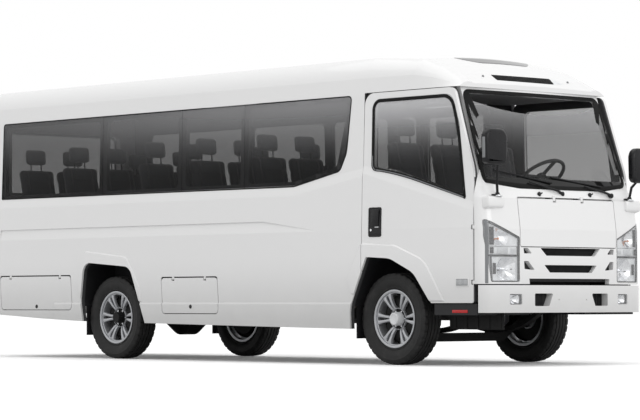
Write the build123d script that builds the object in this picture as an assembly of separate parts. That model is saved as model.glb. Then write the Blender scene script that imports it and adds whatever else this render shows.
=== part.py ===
"""Coach-built minibus on a light truck chassis with a forward-control cab.

Frame: origin on the floor under the middle of the vehicle's box, +X forward, +Y to the
vehicle's left, +Z up. All sizes are in millimetres. Places along the vehicle are measured
from the front axle or the rear axle, and heights from the ground.
"""
import os

from build123d import *

# Driving dimensions
overall_length = 6220
front_overhang = 1100
wheelbase = 3350
half_track = 695
body_half_width = 860
waist_half_width = 850
window_low_half_width = 838
window_top_half_width = 822
crease_half_width = 812
crease_height = 2160
roof_height = 2360
wall = 40
glass_thickness = 6
shut_gap = 6
hinge_gap = 10
fit_gap = 0.3
overrun = 20

# Axle places and the tail
front_x = overall_length / 2 - front_overhang
rear_x = front_x - wheelbase
tail_x = -overall_length / 2

# Wheels and tyres
tyre_radius = 345
tread_half = 94
bead_radius = 203
bead_gap = 3.4
rim_flange_radius = 219
rim_width = 152
rim_flange = 7
rim_wall = 6
rim_dish = 18
hub_radius = 62
hub_bore_radius = 42
spoke_count = 6
wheel_height = tyre_radius

# Body lines, heights above the ground
skirt_tail_height = 368
skirt_mid_height = 312
skirt_front_height = 268
sill_height = 455
sill_rise = 14
skirt_proud = 8
swage_low = 1012
swage_high = 1098
swage_depth = 15
bevel_low = 1293
window_low = 1360
window_top = 2036
bevel_front_low = 1418
window_front_low = 1482
door_bevel_rear = 1440
door_sill_rear = 1500
door_bevel_front = 1130
door_sill_front = 1192
floor_height = 700
floor_thickness = 40
cab_floor_height = 870

# Body places, ahead of the front axle
door_rear_reach = -257
door_front_reach = 914
bevel_bend_reach = -1040
tail_depth = 80
side_rear_reach = front_overhang - overall_length + tail_depth
body_front_reach = door_rear_reach - shut_gap
roof_shell = 35


def outline(points, radii=0):
    """Closed flat face through the points, its corners rounded by the radii."""
    if radii == 0:
        return Polygon(*points, align=None)
    return make_face(FilletPolyline(*points, radius=radii, close=True).edges())


def across(points, y_from, y_to, radii=0, x_at=0):
    """Carry an X-Z outline, drawn from x_at, over the vehicle from y_from to y_to."""
    face = Plane.XZ * outline(points, radii)
    return Pos(x_at, y_from, 0) * extrude(face, amount=y_to - y_from, dir=(0, 1, 0))


def along(points, x_from, x_to, radii=0):
    """Carry a Y-Z outline along the vehicle from x_from to x_to."""
    face = Plane.YZ * outline(points, radii)
    return Pos(x_from, 0, 0) * extrude(face, amount=x_to - x_from, dir=(1, 0, 0))


def upward(points, z_from, z_to, radii=0):
    """Carry an X-Y outline upward from z_from to z_to."""
    return Pos(0, 0, z_from) * extrude(outline(points, radii), amount=z_to - z_from)


def block(x_from, x_to, y_from, y_to, z_from, z_to):
    """A plain box between two corners."""
    size = (x_to - x_from, y_to - y_from, z_to - z_from)
    centre = ((x_from + x_to) / 2, (y_from + y_to) / 2, (z_from + z_to) / 2)
    return Pos(*centre) * Box(*size)


def rod(start, end, radius):
    """A round bar from one point to another."""
    start = Vector(*start)
    axis = Vector(*end) - start
    return Plane(start, z_dir=axis) * Cylinder(
        radius, axis.length, align=(Align.CENTER, Align.CENTER, Align.MIN)
    )


def scaled(shares, length, height, x_at=0, z_at=0):
    """Turn a table of shares into points."""
    return [(x_at + length * a, z_at + height * b) for a, b in shares]


def mirrored(shape):
    """The same shape on the vehicle's other side."""
    return mirror(shape, about=Plane.XZ)


def export(shape, name):
    """Write one piece."""
    solids = shape.solids()
    body = solids[0] if len(solids) == 1 else Compound(children=list(solids))
    body.label = name
    export_step(body, f"parts/{name}.step")


# Hinges: a pin in a notch at the panel's edge, and an eye on what carries it
pin_radius = 3.5
eye_radius = 7.5
eye_length = 24
eye_side_gap = 5
notch_length = eye_length + 2 * eye_side_gap
notch_back = 16
pin_edge_gap = 7
pin_depth = 9
eye_root = 12


def hinge(panel, carrier, pin_at, axis, outer, to_carrier, seat_gap=hinge_gap):
    """Cut the notch, add the pin to the panel and the eye to the carrier.

    pin_at is the pin's centre, axis its direction, outer points out of the panel's face
    and to_carrier points from the pin over the gap.
    """
    frame = Plane(origin=pin_at, x_dir=to_carrier, z_dir=axis)
    outward = Vector(*outer).dot(frame.y_dir)
    across_low = -pin_depth - overrun if outward < 0 else pin_depth - wall - overrun
    across_high = across_low + wall + 2 * overrun
    notch = frame * block(
        -notch_back, pin_edge_gap + seat_gap, across_low, across_high,
        -notch_length / 2, notch_length / 2,
    )
    pin = frame * Cylinder(pin_radius, notch_length + 2 * eye_side_gap)
    reach = pin_edge_gap + seat_gap + eye_root
    eye = Cylinder(eye_radius, eye_length) + block(
        0, reach, -eye_radius, eye_radius, -eye_length / 2, eye_length / 2
    )
    eye -= Cylinder(pin_radius + fit_gap, eye_length)
    return (panel - notch) + pin, carrier + frame * eye


# Wheel arches: shares of the arch's reach and rise about its axle
arch_reach = 400
arch_rise = 800
front_arch_shares = ((-0.94, 0.19), (-0.965, 0.55), (-0.52, 1.012), (0.125, 0.995),
                     (0.75, 0.86), (1.25, 0.55), (1.25, 0.19))
front_arch_radius_shares = (0, 0.31, 0.03, 0.31, 0.25, 0.075, 0)
rear_arch_shares = ((-0.75, 0.19), (-0.915, 0.60), (-0.805, 1.01), (0.75, 0.955),
                    (1.31, 0.31), (1.35, 0.19))
rear_arch_radius_shares = (0, 0.25, 0.12, 0.14, 0, 0)
front_flare_shares = ((-0.95, 0.65), (-1.10, 0.81), (-0.69, 1.157), (0.25, 1.134),
                      (1.05, 0.988), (1.60, 0.579), (0.0, 0.579))
front_flare_radius_shares = (0, 0, 0.07, 0.3, 0.3, 0, 0)
rear_flare_shares = ((-0.95, 0.62), (-1.06, 0.80), (-0.82, 1.145), (0.64, 1.075),
                     (1.10, 0.75), (1.17, 0.58), (0.0, 0.58))
rear_flare_radius_shares = (0, 0, 0.08, 0.12, 0, 0, 0)
flare_proud = 9
flare_slope = 45


def arch_cut(shares, radius_shares, x_at, y_from, y_to, grow=0):
    """The open space of a wheel arch, grown all round by a wall's thickness."""
    points = scaled(shares, arch_reach, arch_rise)
    radii = [arch_rise * share for share in radius_shares]
    face = outline(points, radii)
    if grow:
        face = offset(face, grow, kind=Kind.INTERSECTION)
    face = Plane.XZ * face
    return Pos(x_at, y_from, 0) * extrude(face, amount=y_to - y_from, dir=(0, 1, 0))


def flare(shares, radius_shares, x_at):
    """The raised band round an arch, its outer edge sloping back to the side."""
    points = scaled(shares, arch_reach, arch_rise)
    radii = [arch_rise * share for share in radius_shares]
    face = Plane.XZ * outline(points, radii)
    depth = flare_proud + wall / 4
    solid = extrude(face, amount=depth, dir=(0, 1, 0), taper=flare_slope)
    return Pos(x_at, body_half_width - wall / 4, 0) * solid


# Side walls of the left side; the right side is their mirror
def side_points(low, high, thickness=wall):
    """Section of the left wall with the window plane starting at high."""
    outer = [
        (body_half_width, skirt_front_height - overrun),
        (body_half_width, swage_low),
        (waist_half_width, low),
        (window_low_half_width, high),
        (window_top_half_width, window_top),
        (crease_half_width, crease_height),
    ]
    inner = [(y - thickness, z) for y, z in reversed(outer)]
    return outer + inner


def side_shell(x_from, x_to, from_lines, to_lines, thickness=wall):
    """Wall between two places, its bevel rising from one pair of lines to the other."""
    sections = [
        Plane.YZ.offset(front_x + x) * outline(side_points(low, high, thickness))
        for x, (low, high) in ((x_from, from_lines), (x_to, to_lines))
    ]
    return loft(sections, ruled=True)


body_lines = (bevel_low, window_low)
body_front_lines = (bevel_front_low, window_front_low)


def body_shell(thickness=wall):
    """The whole left side behind the cab door."""
    straight = side_shell(side_rear_reach, bevel_bend_reach, body_lines, body_lines, thickness)
    rising = side_shell(bevel_bend_reach, body_front_reach, body_lines, body_front_lines, thickness)
    return straight + rising


# Side window band and its panes, from the front axle
band_inset = 162
band_rear = side_rear_reach + band_inset
band_front = -400
band_foot_front = -520
band_bend = -1045
band_rise = 1462
pane_joints = (-3454, -2415, -1640)
pane_gap = 4
pillar_half = 48
window_margin = 42
window_corner = 45
band_outline = ((band_rear, window_low + 8), (band_rear + 8, window_top - 4),
                (band_front, window_top), (band_front - 45, 1600),
                (band_foot_front, band_rise), (band_bend, window_low))
band_radii = (10, 30, 40, 200, 70, 60)


def plain_aperture(x_from, x_to):
    """Opening in the wall behind one pane, between two joints."""
    low, high = window_low + window_margin, window_top - window_margin
    back, ahead = x_from + pillar_half, x_to - pillar_half
    points = [(back, low), (back, high), (ahead, high), (ahead, low)]
    return across(points, 0, body_half_width, window_corner, front_x)


def rising_aperture(x_from, x_top, x_foot, foot_height):
    """Opening behind a pane whose lower edge rises towards the front."""
    low, high = window_low + window_margin, window_top - window_margin
    points = [(x_from, low), (x_from, high), (x_top, high), (x_foot, foot_height),
              (band_bend, low)]
    return across(points, 0, body_half_width, window_corner, front_x)


def band_glass(shell_skin):
    """The panes, flush in the wall."""
    band = across(band_outline, 0, body_half_width, band_radii, front_x)
    glass = shell_skin & band
    for joint in pane_joints:
        x = front_x + joint
        glass -= block(x - pane_gap / 2, x + pane_gap / 2, 0, body_half_width, 0, roof_height)
    return glass


# Hatches in the side, from the front axle
hatch_top = 693
hatch_mid_top = 668
hatch_low = 410
hatch_mid_low = 382
hatch_rear_inset = 172
hatch_rear_span = (side_rear_reach + hatch_rear_inset, -3862)
hatch_mid_span = (-2644, -1944)
hatch_corner = 32
hatch_hole_corner = 22
flap_setback = 6
hatch_lean = 26
hinge_inset = 150


def hatch_points(span, low, top, grow=0):
    """Outline of a locker flap, leaning forward at its lower corners."""
    return [
        (span[0] - grow, top + grow), (span[1] + grow, top + grow),
        (span[1] + hatch_lean + grow, low - grow), (span[0] + hatch_lean - grow, low - grow),
    ]


def cut_hatch(side, span, low, top):
    """Split a flap out of the side and hang it at its top edge."""
    width_band = (body_half_width - wall - overrun, body_half_width + overrun)
    inside = across(hatch_points(span, low, top), *width_band, hatch_corner, front_x)
    hole_points = hatch_points(span, low, top, shut_gap)
    hole_points[0] = (hole_points[0][0], top + hinge_gap)
    hole_points[1] = (hole_points[1][0], top + hinge_gap)
    low_corner = hatch_corner + shut_gap
    hole_radii = (hatch_hole_corner, hatch_hole_corner, low_corner, low_corner)
    hole = across(hole_points, *width_band, hole_radii, front_x)
    behind = across(hole_points, width_band[0], body_half_width - wall + flap_setback,
                    hole_radii, front_x)
    flap = (side & inside) - behind
    side = side - hole
    for x in (span[0] + hinge_inset, span[1] - hinge_inset):
        pin_at = (front_x + x, body_half_width - pin_depth, top - pin_edge_gap)
        flap, side = hinge(flap, side, pin_at, (1, 0, 0), (0, 1, 0), (0, 0, 1))
    return flap, side


def skirt_lip(x_from, x_to):
    """The skirt below the sill line, standing a little proud."""
    points = [
        (body_half_width - wall / 4, sill_height + sill_rise),
        (body_half_width, sill_height + sill_rise),
        (body_half_width + skirt_proud, sill_height),
        (body_half_width + skirt_proud, skirt_front_height - overrun),
        (body_half_width - wall / 4, skirt_front_height - overrun),
    ]
    return along(points, front_x + x_from, front_x + x_to)


swage_inset = 172
swage_rear = side_rear_reach + swage_inset
swage_bend = -1390
swage_tip = -793
swage_tip_height = 8


def swage_groove():
    """The sloped groove along the waist, running out to a point near the cab door."""
    out = body_half_width + overrun

    def section(x, high):
        depth = swage_depth * (high - swage_low) / (swage_high - swage_low)
        points = [
            (out, swage_low), (body_half_width, swage_low),
            (body_half_width - depth, high), (out, high + swage_tip_height),
        ]
        return Plane.YZ.offset(front_x + x) * outline(points)

    straight = loft([section(swage_rear, swage_high), section(swage_bend, swage_high)], ruled=True)
    tip_high = swage_low + swage_tip_height
    tip = loft([section(swage_bend, swage_high), section(swage_tip, tip_high)], ruled=True)
    return straight + tip


skirt_outline = [
    (side_rear_reach, skirt_tail_height + overrun / 4), (-4289, 334),
    (-3685, skirt_mid_height), (-725, skirt_front_height + 4),
    (body_front_reach, skirt_front_height), (body_front_reach, crease_height),
    (side_rear_reach, crease_height),
]
lip_rear = -4080


def trim_side(side):
    """Cut the skirt's lower edge and both arches."""
    side = side & across(skirt_outline, 0, body_half_width + wall, 0, front_x)
    span = (body_half_width - wall - overrun, body_half_width + wall)
    side -= arch_cut(rear_arch_shares, rear_arch_radius_shares, rear_x, *span)
    return side - arch_cut(front_arch_shares, front_arch_radius_shares, front_x, *span)


# The entry door in the left side, from the front axle
entry_rear = -1300
entry_front = -520
entry_low = 320
entry_top = 2056
entry_corner = 60
entry_foot_height = 1500
entry_lip_gap = 40


def lipped(side, spans):
    """Add the skirt's proud lip over the spans, cut by the arches."""
    for x_from, x_to in spans:
        side += trim_side(skirt_lip(x_from, x_to))
    return side


def make_sides():
    """Both side walls with their panes, flaps and the entry door."""
    side = body_shell()
    side += flare(rear_flare_shares, rear_flare_radius_shares, rear_x)
    side += flare(front_flare_shares, front_flare_radius_shares, front_x)
    side -= swage_groove()
    side = trim_side(side)
    skin = body_shell(glass_thickness)
    glass = band_glass(skin)
    side -= across(band_outline, 0, body_half_width, band_radii, front_x) & skin
    edges = (band_rear,) + pane_joints
    for x_from, x_to in zip(edges[:-1], edges[1:]):
        side -= plain_aperture(x_from, x_to)
    front_pane_rear = pane_joints[-1] + pillar_half
    pane_foot = band_rise + window_margin

    right = lipped(side, [(lip_rear, body_front_reach)])
    right -= rising_aperture(front_pane_rear, band_front - window_margin,
                             band_foot_front - window_margin, pane_foot)
    flap_rear, right = cut_hatch(right, hatch_rear_span, hatch_low, hatch_top)
    flap_mid, right = cut_hatch(right, hatch_mid_span, hatch_mid_low, hatch_mid_top)

    left = lipped(side, [(lip_rear, entry_rear - entry_lip_gap),
                         (entry_front + entry_lip_gap, body_front_reach)])
    left -= plain_aperture(pane_joints[-1], entry_rear)
    entry_glass_front = entry_front - pillar_half - hinge_gap
    left -= rising_aperture(entry_rear + pillar_half + shut_gap, entry_glass_front,
                            entry_glass_front, entry_foot_height)
    _, left = cut_hatch(left, hatch_rear_span, hatch_low, hatch_top)
    entry_points = [(entry_rear, entry_low), (entry_rear, entry_top),
                    (entry_front, entry_top), (entry_front, entry_low)]
    hole_points = [
        (entry_rear - shut_gap, 0), (entry_rear - shut_gap, entry_top + shut_gap),
        (entry_front + hinge_gap, entry_top + shut_gap), (entry_front + hinge_gap, 0),
    ]
    span = (body_half_width - wall - overrun * 3, body_half_width + overrun)
    entry = left & across(entry_points, *span, entry_corner, front_x)
    hole_radii = (0, entry_corner + shut_gap, entry_corner + shut_gap, 0)
    left = left - across(hole_points, *span, hole_radii, front_x)
    for z in (entry_low + hinge_inset, swage_low - hinge_inset):
        pin_at = (front_x + entry_front - pin_edge_gap, body_half_width - pin_depth, z)
        entry, left = hinge(entry, left, pin_at, (0, 0, 1), (0, 1, 0), (1, 0, 0))
    entry_glass = glass & across(entry_points, *span, entry_corner, front_x)
    left_glass = glass - across(hole_points, *span, hole_radii, front_x)
    panes = left_glass + mirrored(glass)
    flaps = {
        "hatch_rear_left": flap_rear,
        "hatch_rear_right": mirrored(flap_rear),
        "hatch_mid_right": mirrored(flap_mid),
    }
    return left, mirrored(right), panes, entry, entry_glass, flaps


# Cab doors, from the front axle
door_low = 463
door_top = 2042
door_shares = ((0, 0), (0, 1), (0.805, 1), (0.981, 0.612), (0.998, 0.34), (1, 0))
door_radii = (10, 94, 70, 350, 600, 15)
window_shares = ((0.073, 0.630), (0.073, 0.970), (0.790, 0.970), (0.858, 0.828),
                 (0.922, 0.478), (0.270, 0.615))
window_radii = (45, 80, 85, 200, 22, 250)
door_window_margin = 26


def door_points(grow=0, front_grow=0, high_grow=0):
    """Outline of the cab door, from its rear lower corner round over its top."""
    length = door_front_reach - door_rear_reach
    points = scaled(door_shares, length, door_top - door_low, door_rear_reach, door_low)
    moved = []
    for (x, z), (a, b) in zip(points, door_shares):
        x_shift = front_grow if a > 0.5 else -grow
        z_shift = high_grow if b > 0.9 else (-grow if b < 0.1 else 0)
        moved.append((x + x_shift, z + z_shift))
    return moved


def door_lines(reach):
    """Heights of the bevel's foot and of the window plane at a place along the door."""
    share = (reach - door_rear_reach) / (door_front_reach - door_rear_reach)
    return (door_bevel_rear + (door_bevel_front - door_bevel_rear) * share,
            door_sill_rear + (door_sill_front - door_sill_rear) * share)


def make_door():
    """The left cab door and its glass."""
    rear_at, front_at = door_rear_reach - overrun, door_front_reach + overrun
    places = (rear_at, front_at, door_lines(rear_at), door_lines(front_at))
    door = side_shell(*places)
    skin = side_shell(*places, glass_thickness)
    door += flare(front_flare_shares, front_flare_radius_shares, front_x)
    span = (body_half_width - wall - overrun * 3, body_half_width + overrun)
    door = door & across(door_points(), *span, door_radii, front_x)
    door -= arch_cut(front_arch_shares, front_arch_radius_shares, front_x, *span)
    length = door_front_reach - door_rear_reach
    frame_points = scaled(window_shares, length, door_top - door_low, door_rear_reach, door_low)
    frame_face = outline(frame_points, window_radii)
    inner_face = offset(frame_face, -door_window_margin, kind=Kind.INTERSECTION)
    glass = skin & across(frame_points, 0, body_half_width, window_radii, front_x)
    door -= glass
    door -= Pos(front_x, 0, 0) * extrude(
        Plane.XZ * inner_face, amount=body_half_width, dir=(0, 1, 0)
    )
    return door, glass


# Cab nose: plan sections at their heights above the ground, columns:
# height, half width, front at the middle, front at the corner, corner radius
nose_sections = (
    (600, 857, 1086, 1022, 110),
    (1000, 856, 1086, 1022, 110),
    (1225, 849, 1057, 993, 100),
    (1310, 843, 1006, 932, 90),
    (2048, 818, 702, 664, 70),
)
nose_back = 100
nose_wall = 40
pillar_inner = 742


def nose_solid(inset=0):
    """The cab's nose as a full volume, drawn in by inset."""
    faces = []
    last = len(nose_sections) - 1
    for index, (z, half, middle, corner, radius) in enumerate(nose_sections):
        half, middle, corner = half - inset, middle - inset, corner - inset
        edges = [
            Line((nose_back - inset, -half), (corner, -half)),
            ThreePointArc((corner, -half), (middle, 0), (corner, half)),
            Line((corner, half), (nose_back - inset, half)),
            Line((nose_back - inset, half), (nose_back - inset, -half)),
        ]
        face = make_face(Curve() + edges)
        face = fillet(face.vertices().sort_by(Axis.X)[-2:], radius - inset / 2)
        if inset and index == 0:
            z = z - overrun
        if inset and index == last:
            z = z + overrun
        faces.append(Pos(front_x, 0, z) * face)
    return loft(faces, ruled=True)


# Front view outlines: half width and height
glass_low_corner = (778, 1338)
glass_low_middle = (450, 1296)
glass_top_corner = (736, 2032)
glass_corner_radius = 62
windscreen_margin = 30
lid_half = 520
lid_low = 874
lid_top = 1224
lid_corner = 14
lid_top_gap = 12
lid_pin_reach = 1046
lid_hinge_place = 150
grille_half = 505
grille_low = 606
lamp_inner = 528
lamp_low = 615
lamp_inner_top = 942
lamp_outer_top = 1074
lamp_outer = 836
lamp_foot_outer = 792
lamp_corner = 14
lamp_back = 928
front_reach = 1200
nose_cut_back = 850


def pair_points(points):
    """Close a half outline, listed from the middle line out, over the other side."""
    return list(points) + [(-y, z) for y, z in reversed(points)]


def nose_prism(points, radii=0, back=nose_cut_back):
    """Carry a front view outline through the nose."""
    return along(points, front_x + back, front_x + front_reach, radii)


def windscreen_points():
    return pair_points([glass_low_middle, glass_low_corner, glass_top_corner])


windscreen_radii = (300, glass_corner_radius, glass_corner_radius,
                    glass_corner_radius, glass_corner_radius, 300)
windscreen_back = 560


def make_nose():
    """Cab front with its lid, grille panel, lamps and windscreen split out of it."""
    outer = nose_solid()
    shell = outer - nose_solid(nose_wall)
    skin = outer - nose_solid(glass_thickness)
    behind_door = door_points(shut_gap, hinge_gap, hinge_gap)
    cut = [behind_door[2], behind_door[3], behind_door[4],
           (behind_door[5][0], 0), (-nose_back, 0), (-nose_back, roof_height)]
    top_x = behind_door[2][0]
    cut.append((top_x, roof_height))
    cut_radii = (0, 350, 600, 0, 0, 0, 0)
    side_cut = across(cut, pillar_inner, body_half_width + wall, cut_radii, front_x)
    side_cut += mirrored(side_cut)

    screen_face = outline(windscreen_points(), windscreen_radii)
    screen_box = Pos(front_x + windscreen_back, 0, 0) * extrude(
        Plane.YZ * screen_face, amount=front_reach - windscreen_back, dir=(1, 0, 0)
    )
    inner_face = offset(screen_face, -windscreen_margin, kind=Kind.INTERSECTION)
    screen_hole = Pos(front_x + windscreen_back, 0, 0) * extrude(
        Plane.YZ * inner_face, amount=front_reach - windscreen_back, dir=(1, 0, 0)
    )
    windscreen = skin & screen_box

    lid_box = nose_prism(
        [(-lid_half, lid_low), (-lid_half, lid_top), (lid_half, lid_top), (lid_half, lid_low)],
        lid_corner,
    )
    lid_hole = nose_prism(
        [(-lid_half - shut_gap, lid_low - shut_gap), (-lid_half - shut_gap, lid_top + lid_top_gap),
         (lid_half + shut_gap, lid_top + lid_top_gap), (lid_half + shut_gap, lid_low - shut_gap)],
        lid_corner + shut_gap,
    )
    grille_box = nose_prism(
        [(-grille_half, grille_low - overrun), (-grille_half, lid_low - shut_gap),
         (grille_half, lid_low - shut_gap), (grille_half, grille_low - overrun)],
    )
    lamp = [(lamp_inner, lamp_low), (lamp_inner, lamp_inner_top), (lamp_outer, lamp_outer_top),
            (lamp_outer, lamp_inner_top), (lamp_foot_outer, lamp_low)]
    lamp_box = nose_prism(lamp, lamp_corner, lamp_back)
    lamps = shell & (lamp_box + mirrored(lamp_box))
    lid = shell & lid_box
    grille = shell & grille_box
    front = shell - side_cut - windscreen - screen_hole
    front = front - lid_hole - grille_box - lamp_box - mirrored(lamp_box)
    pin_x = front_x + lid_pin_reach
    for y in (-lid_hinge_place, lid_hinge_place):
        pin_at = (pin_x, y, lid_top - pin_edge_gap)
        lid, front = hinge(lid, front, pin_at, (0, 1, 0), (1, 0, 0), (0, 0, 1), lid_top_gap)
    return front, lid, grille, lamps, windscreen


# Grille openings: half widths and heights, half outlines
grille_bar_depth = 26
grille_upper = ((325, 864), (264, 808))
grille_lower = ((286, 740), (229, 685))
grille_corner_upper = ((492, 862), (448, 862), (410, 823), (486, 823))
grille_corner_lower = ((487, 768), (445, 768), (379, 702), (482, 710))
intake = ((436, 640), (430, 590))
opening_corner = 16


def cut_grille(panel):
    """Open the grille panel and thin it from behind."""
    for (top_half, top), (low_half, low) in (grille_upper, grille_lower):
        points = [(-low_half, low), (-top_half, top), (top_half, top), (low_half, low)]
        panel -= nose_prism(points, (opening_corner, 3, 3, opening_corner))
    for points in (grille_corner_upper, grille_corner_lower):
        hole = nose_prism(points, 4)
        panel = panel - hole - mirrored(hole)
    (top_half, top), (low_half, low) = intake
    return panel - nose_prism([(-low_half, low), (-top_half, top), (top_half, top), (low_half, low)])


backing_gap = 0.3
backing_depth = 12


def make_backing():
    """Black plate with upright ribs, just behind the grille panel."""
    plate = nose_solid(nose_wall + backing_gap) - nose_solid(nose_wall + backing_gap + backing_depth)
    inset = backing_depth
    box = nose_prism([(-grille_half + inset, grille_low + inset),
                      (-grille_half + inset, lid_low - shut_gap),
                      (grille_half - inset, lid_low - shut_gap),
                      (grille_half - inset, grille_low + inset)])
    return plate & box


# Roof: half sections from the front axle, columns:
# place, half width below, half width at the crease, crease height,
# half width at the shoulder, shoulder height, crown height
roof_section = (body_front_reach, 820, crease_half_width, crease_height, 700, 2318, roof_height)
cap_sections = (
    (body_front_reach, 820, crease_half_width, crease_height, 700, 2318, roof_height),
    (260, 818, 808, 2156, 690, 2284, 2318),
    (450, 814, 798, 2126, 670, 2226, 2252),
    (610, 806, 780, 2086, 650, 2146, 2168),
    (708, 792, 762, 2066, 640, 2076, 2084),
)
cap_low = 2048
shoulder_bulge = 14
roof_rear_reach = side_rear_reach


def roof_face(section, inset=0, low=None):
    """Rounded roof section above a low edge."""
    place, half_low, half_crease, crease, half_shoulder, shoulder, crown = section
    half_low, half_crease = half_low - inset, half_crease - inset
    half_shoulder, shoulder, crown = half_shoulder - inset, shoulder - inset, crown - inset
    bulge_y = (half_crease + half_shoulder) / 2 + shoulder_bulge
    bulge_z = (crease + shoulder) / 2 + shoulder_bulge
    edges = []
    if low is not None:
        edges.append(Line((-half_low, low), (-half_crease, crease)))
    edges += [
        ThreePointArc((-half_crease, crease), (-bulge_y, bulge_z), (-half_shoulder, shoulder)),
        ThreePointArc((-half_shoulder, shoulder), (0, crown), (half_shoulder, shoulder)),
        ThreePointArc((half_shoulder, shoulder), (bulge_y, bulge_z), (half_crease, crease)),
    ]
    if low is not None:
        edges.append(Line((half_crease, crease), (half_low, low)))
        edges.append(Line((half_low, low), (-half_low, low)))
    else:
        edges.append(Line((half_crease, crease), (-half_crease, crease)))
    return Plane.YZ.offset(front_x + place) * make_face(Curve() + edges)


def make_roof():
    """The long roof panel."""
    length = body_front_reach - roof_rear_reach
    outer = extrude(roof_face(roof_section), amount=length, dir=(-1, 0, 0))
    inner = extrude(roof_face(roof_section, roof_shell), amount=length, dir=(-1, 0, 0))
    return outer - inner


def make_cap():
    """The cap over the cab, falling to the windscreen."""
    outer = loft([roof_face(section, 0, cap_low) for section in cap_sections], ruled=True)
    inner_sections = []
    for section in cap_sections[:-1]:
        inner_sections.append(roof_face(section, roof_shell, cap_low - overrun))
    inner = loft(inner_sections, ruled=True)
    return outer - inner


# Tail
tail_wall = 50
tail_bumper_depth = 100
tail_low = 600
tail_round = 45
rear_glass_half = 640
rear_glass_low = 1400
rear_glass_top = 2010
boot_half = 660
boot_low = 650
boot_top = 1330
tail_corner = 60
boot_hole_corner = 40


def tail_face(inset=0):
    """The body's cross section, closed over the roof."""
    _, _, half_crease, crease, half_shoulder, shoulder, crown = roof_section
    bulge_y = (half_crease + half_shoulder) / 2 + shoulder_bulge
    bulge_z = (crease + shoulder) / 2 + shoulder_bulge
    side = [
        (half_crease, crease), (window_top_half_width, window_top),
        (window_low_half_width, window_low), (waist_half_width, bevel_low),
        (body_half_width, swage_low), (body_half_width, tail_low),
    ]
    side = [(y - inset, z) for y, z in side]
    edges = [
        ThreePointArc((-side[0][0], crease), (-bulge_y + inset, bulge_z),
                      (-half_shoulder + inset, shoulder - inset)),
        ThreePointArc((-half_shoulder + inset, shoulder - inset), (0, crown - inset),
                      (half_shoulder - inset, shoulder - inset)),
        ThreePointArc((half_shoulder - inset, shoulder - inset), (bulge_y - inset, bulge_z),
                      (side[0][0], crease)),
    ]
    for start, end in zip(side[:-1], side[1:]):
        edges.append(Line(start, end))
        edges.append(Line((-end[0], end[1]), (-start[0], start[1])))
    edges.append(Line(side[-1], (-side[-1][0], side[-1][1])))
    return Plane.YZ * make_face(Curve() + edges)


def make_tail():
    """The rear wall, its window and the boot lid hung under the window."""
    x_in = front_x + side_rear_reach
    depth = x_in - tail_x - tail_step
    plate = Pos(x_in, 0, 0) * extrude(tail_face(), amount=depth / 2, dir=(-1, 0, 0))
    rounded = loft([
        Pos(x_in - depth / 2, 0, 0) * tail_face(),
        Pos(x_in - depth, 0, 0) * tail_face(tail_round),
    ], ruled=True)
    tail = plate + rounded
    x_out = x_in - depth
    glass_points = [(-rear_glass_half, rear_glass_low), (-rear_glass_half, rear_glass_top),
                    (rear_glass_half, rear_glass_top), (rear_glass_half, rear_glass_low)]
    boot_points = [(-boot_half, boot_low), (-boot_half, boot_top),
                   (boot_half, boot_top), (boot_half, boot_low)]
    boot_hole = [(-boot_half - shut_gap, boot_low - shut_gap),
                 (-boot_half - shut_gap, boot_top + hinge_gap),
                 (boot_half + shut_gap, boot_top + hinge_gap),
                 (boot_half + shut_gap, boot_low - shut_gap)]
    glass = along(glass_points, x_out, x_out + glass_thickness, tail_corner)
    opening = offset(outline(glass_points, tail_corner), -windscreen_margin,
                     kind=Kind.INTERSECTION)
    hole = Pos(x_out, 0, 0) * extrude(Plane.YZ * opening, amount=depth, dir=(1, 0, 0))
    boot = tail & along(boot_points, x_out, x_in, tail_corner)
    boot = boot & block(x_out, x_out + wall, -boot_half, boot_half, 0, roof_height)
    boot_hole_radii = (tail_corner, boot_hole_corner, boot_hole_corner, tail_corner)
    tail = tail - glass - hole - along(boot_hole, x_out, x_in, boot_hole_radii)
    for y in (-boot_half + hinge_inset, boot_half - hinge_inset):
        pin_at = (x_out + pin_depth, y, boot_top - pin_edge_gap)
        boot, tail = hinge(boot, tail, pin_at, (0, 1, 0), (-1, 0, 0), (0, 0, 1))
    return tail, glass, boot


tail_step = 12

# Bumpers, from the front axle
bumper_low = 392
bumper_top = 592
bumper_middle = 1100
bumper_corner_reach = 1040
bumper_half = 862
bumper_radius = 120
bumper_thickness = 70
bumper_back = 962
fog_inner = 520
fog_outer = 640
fog_low = 452
fog_top = 528
slot_inner = 250
slot_outer = 396
slot_low = 440
slot_top = 532
plate_hole_radius = 4
plate_hole_place = 150
plate_hole_height = 486


def bumper_face(half, middle, corner, radius, back):
    """Plan outline of a bumper's outside."""
    edges = [
        Line((back, -half), (corner, -half)),
        ThreePointArc((corner, -half), (middle, 0), (corner, half)),
        Line((corner, half), (back, half)),
        Line((back, half), (back, -half)),
    ]
    face = make_face(Curve() + edges)
    return fillet(face.vertices().sort_by(Axis.X)[-2:], radius)


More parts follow.
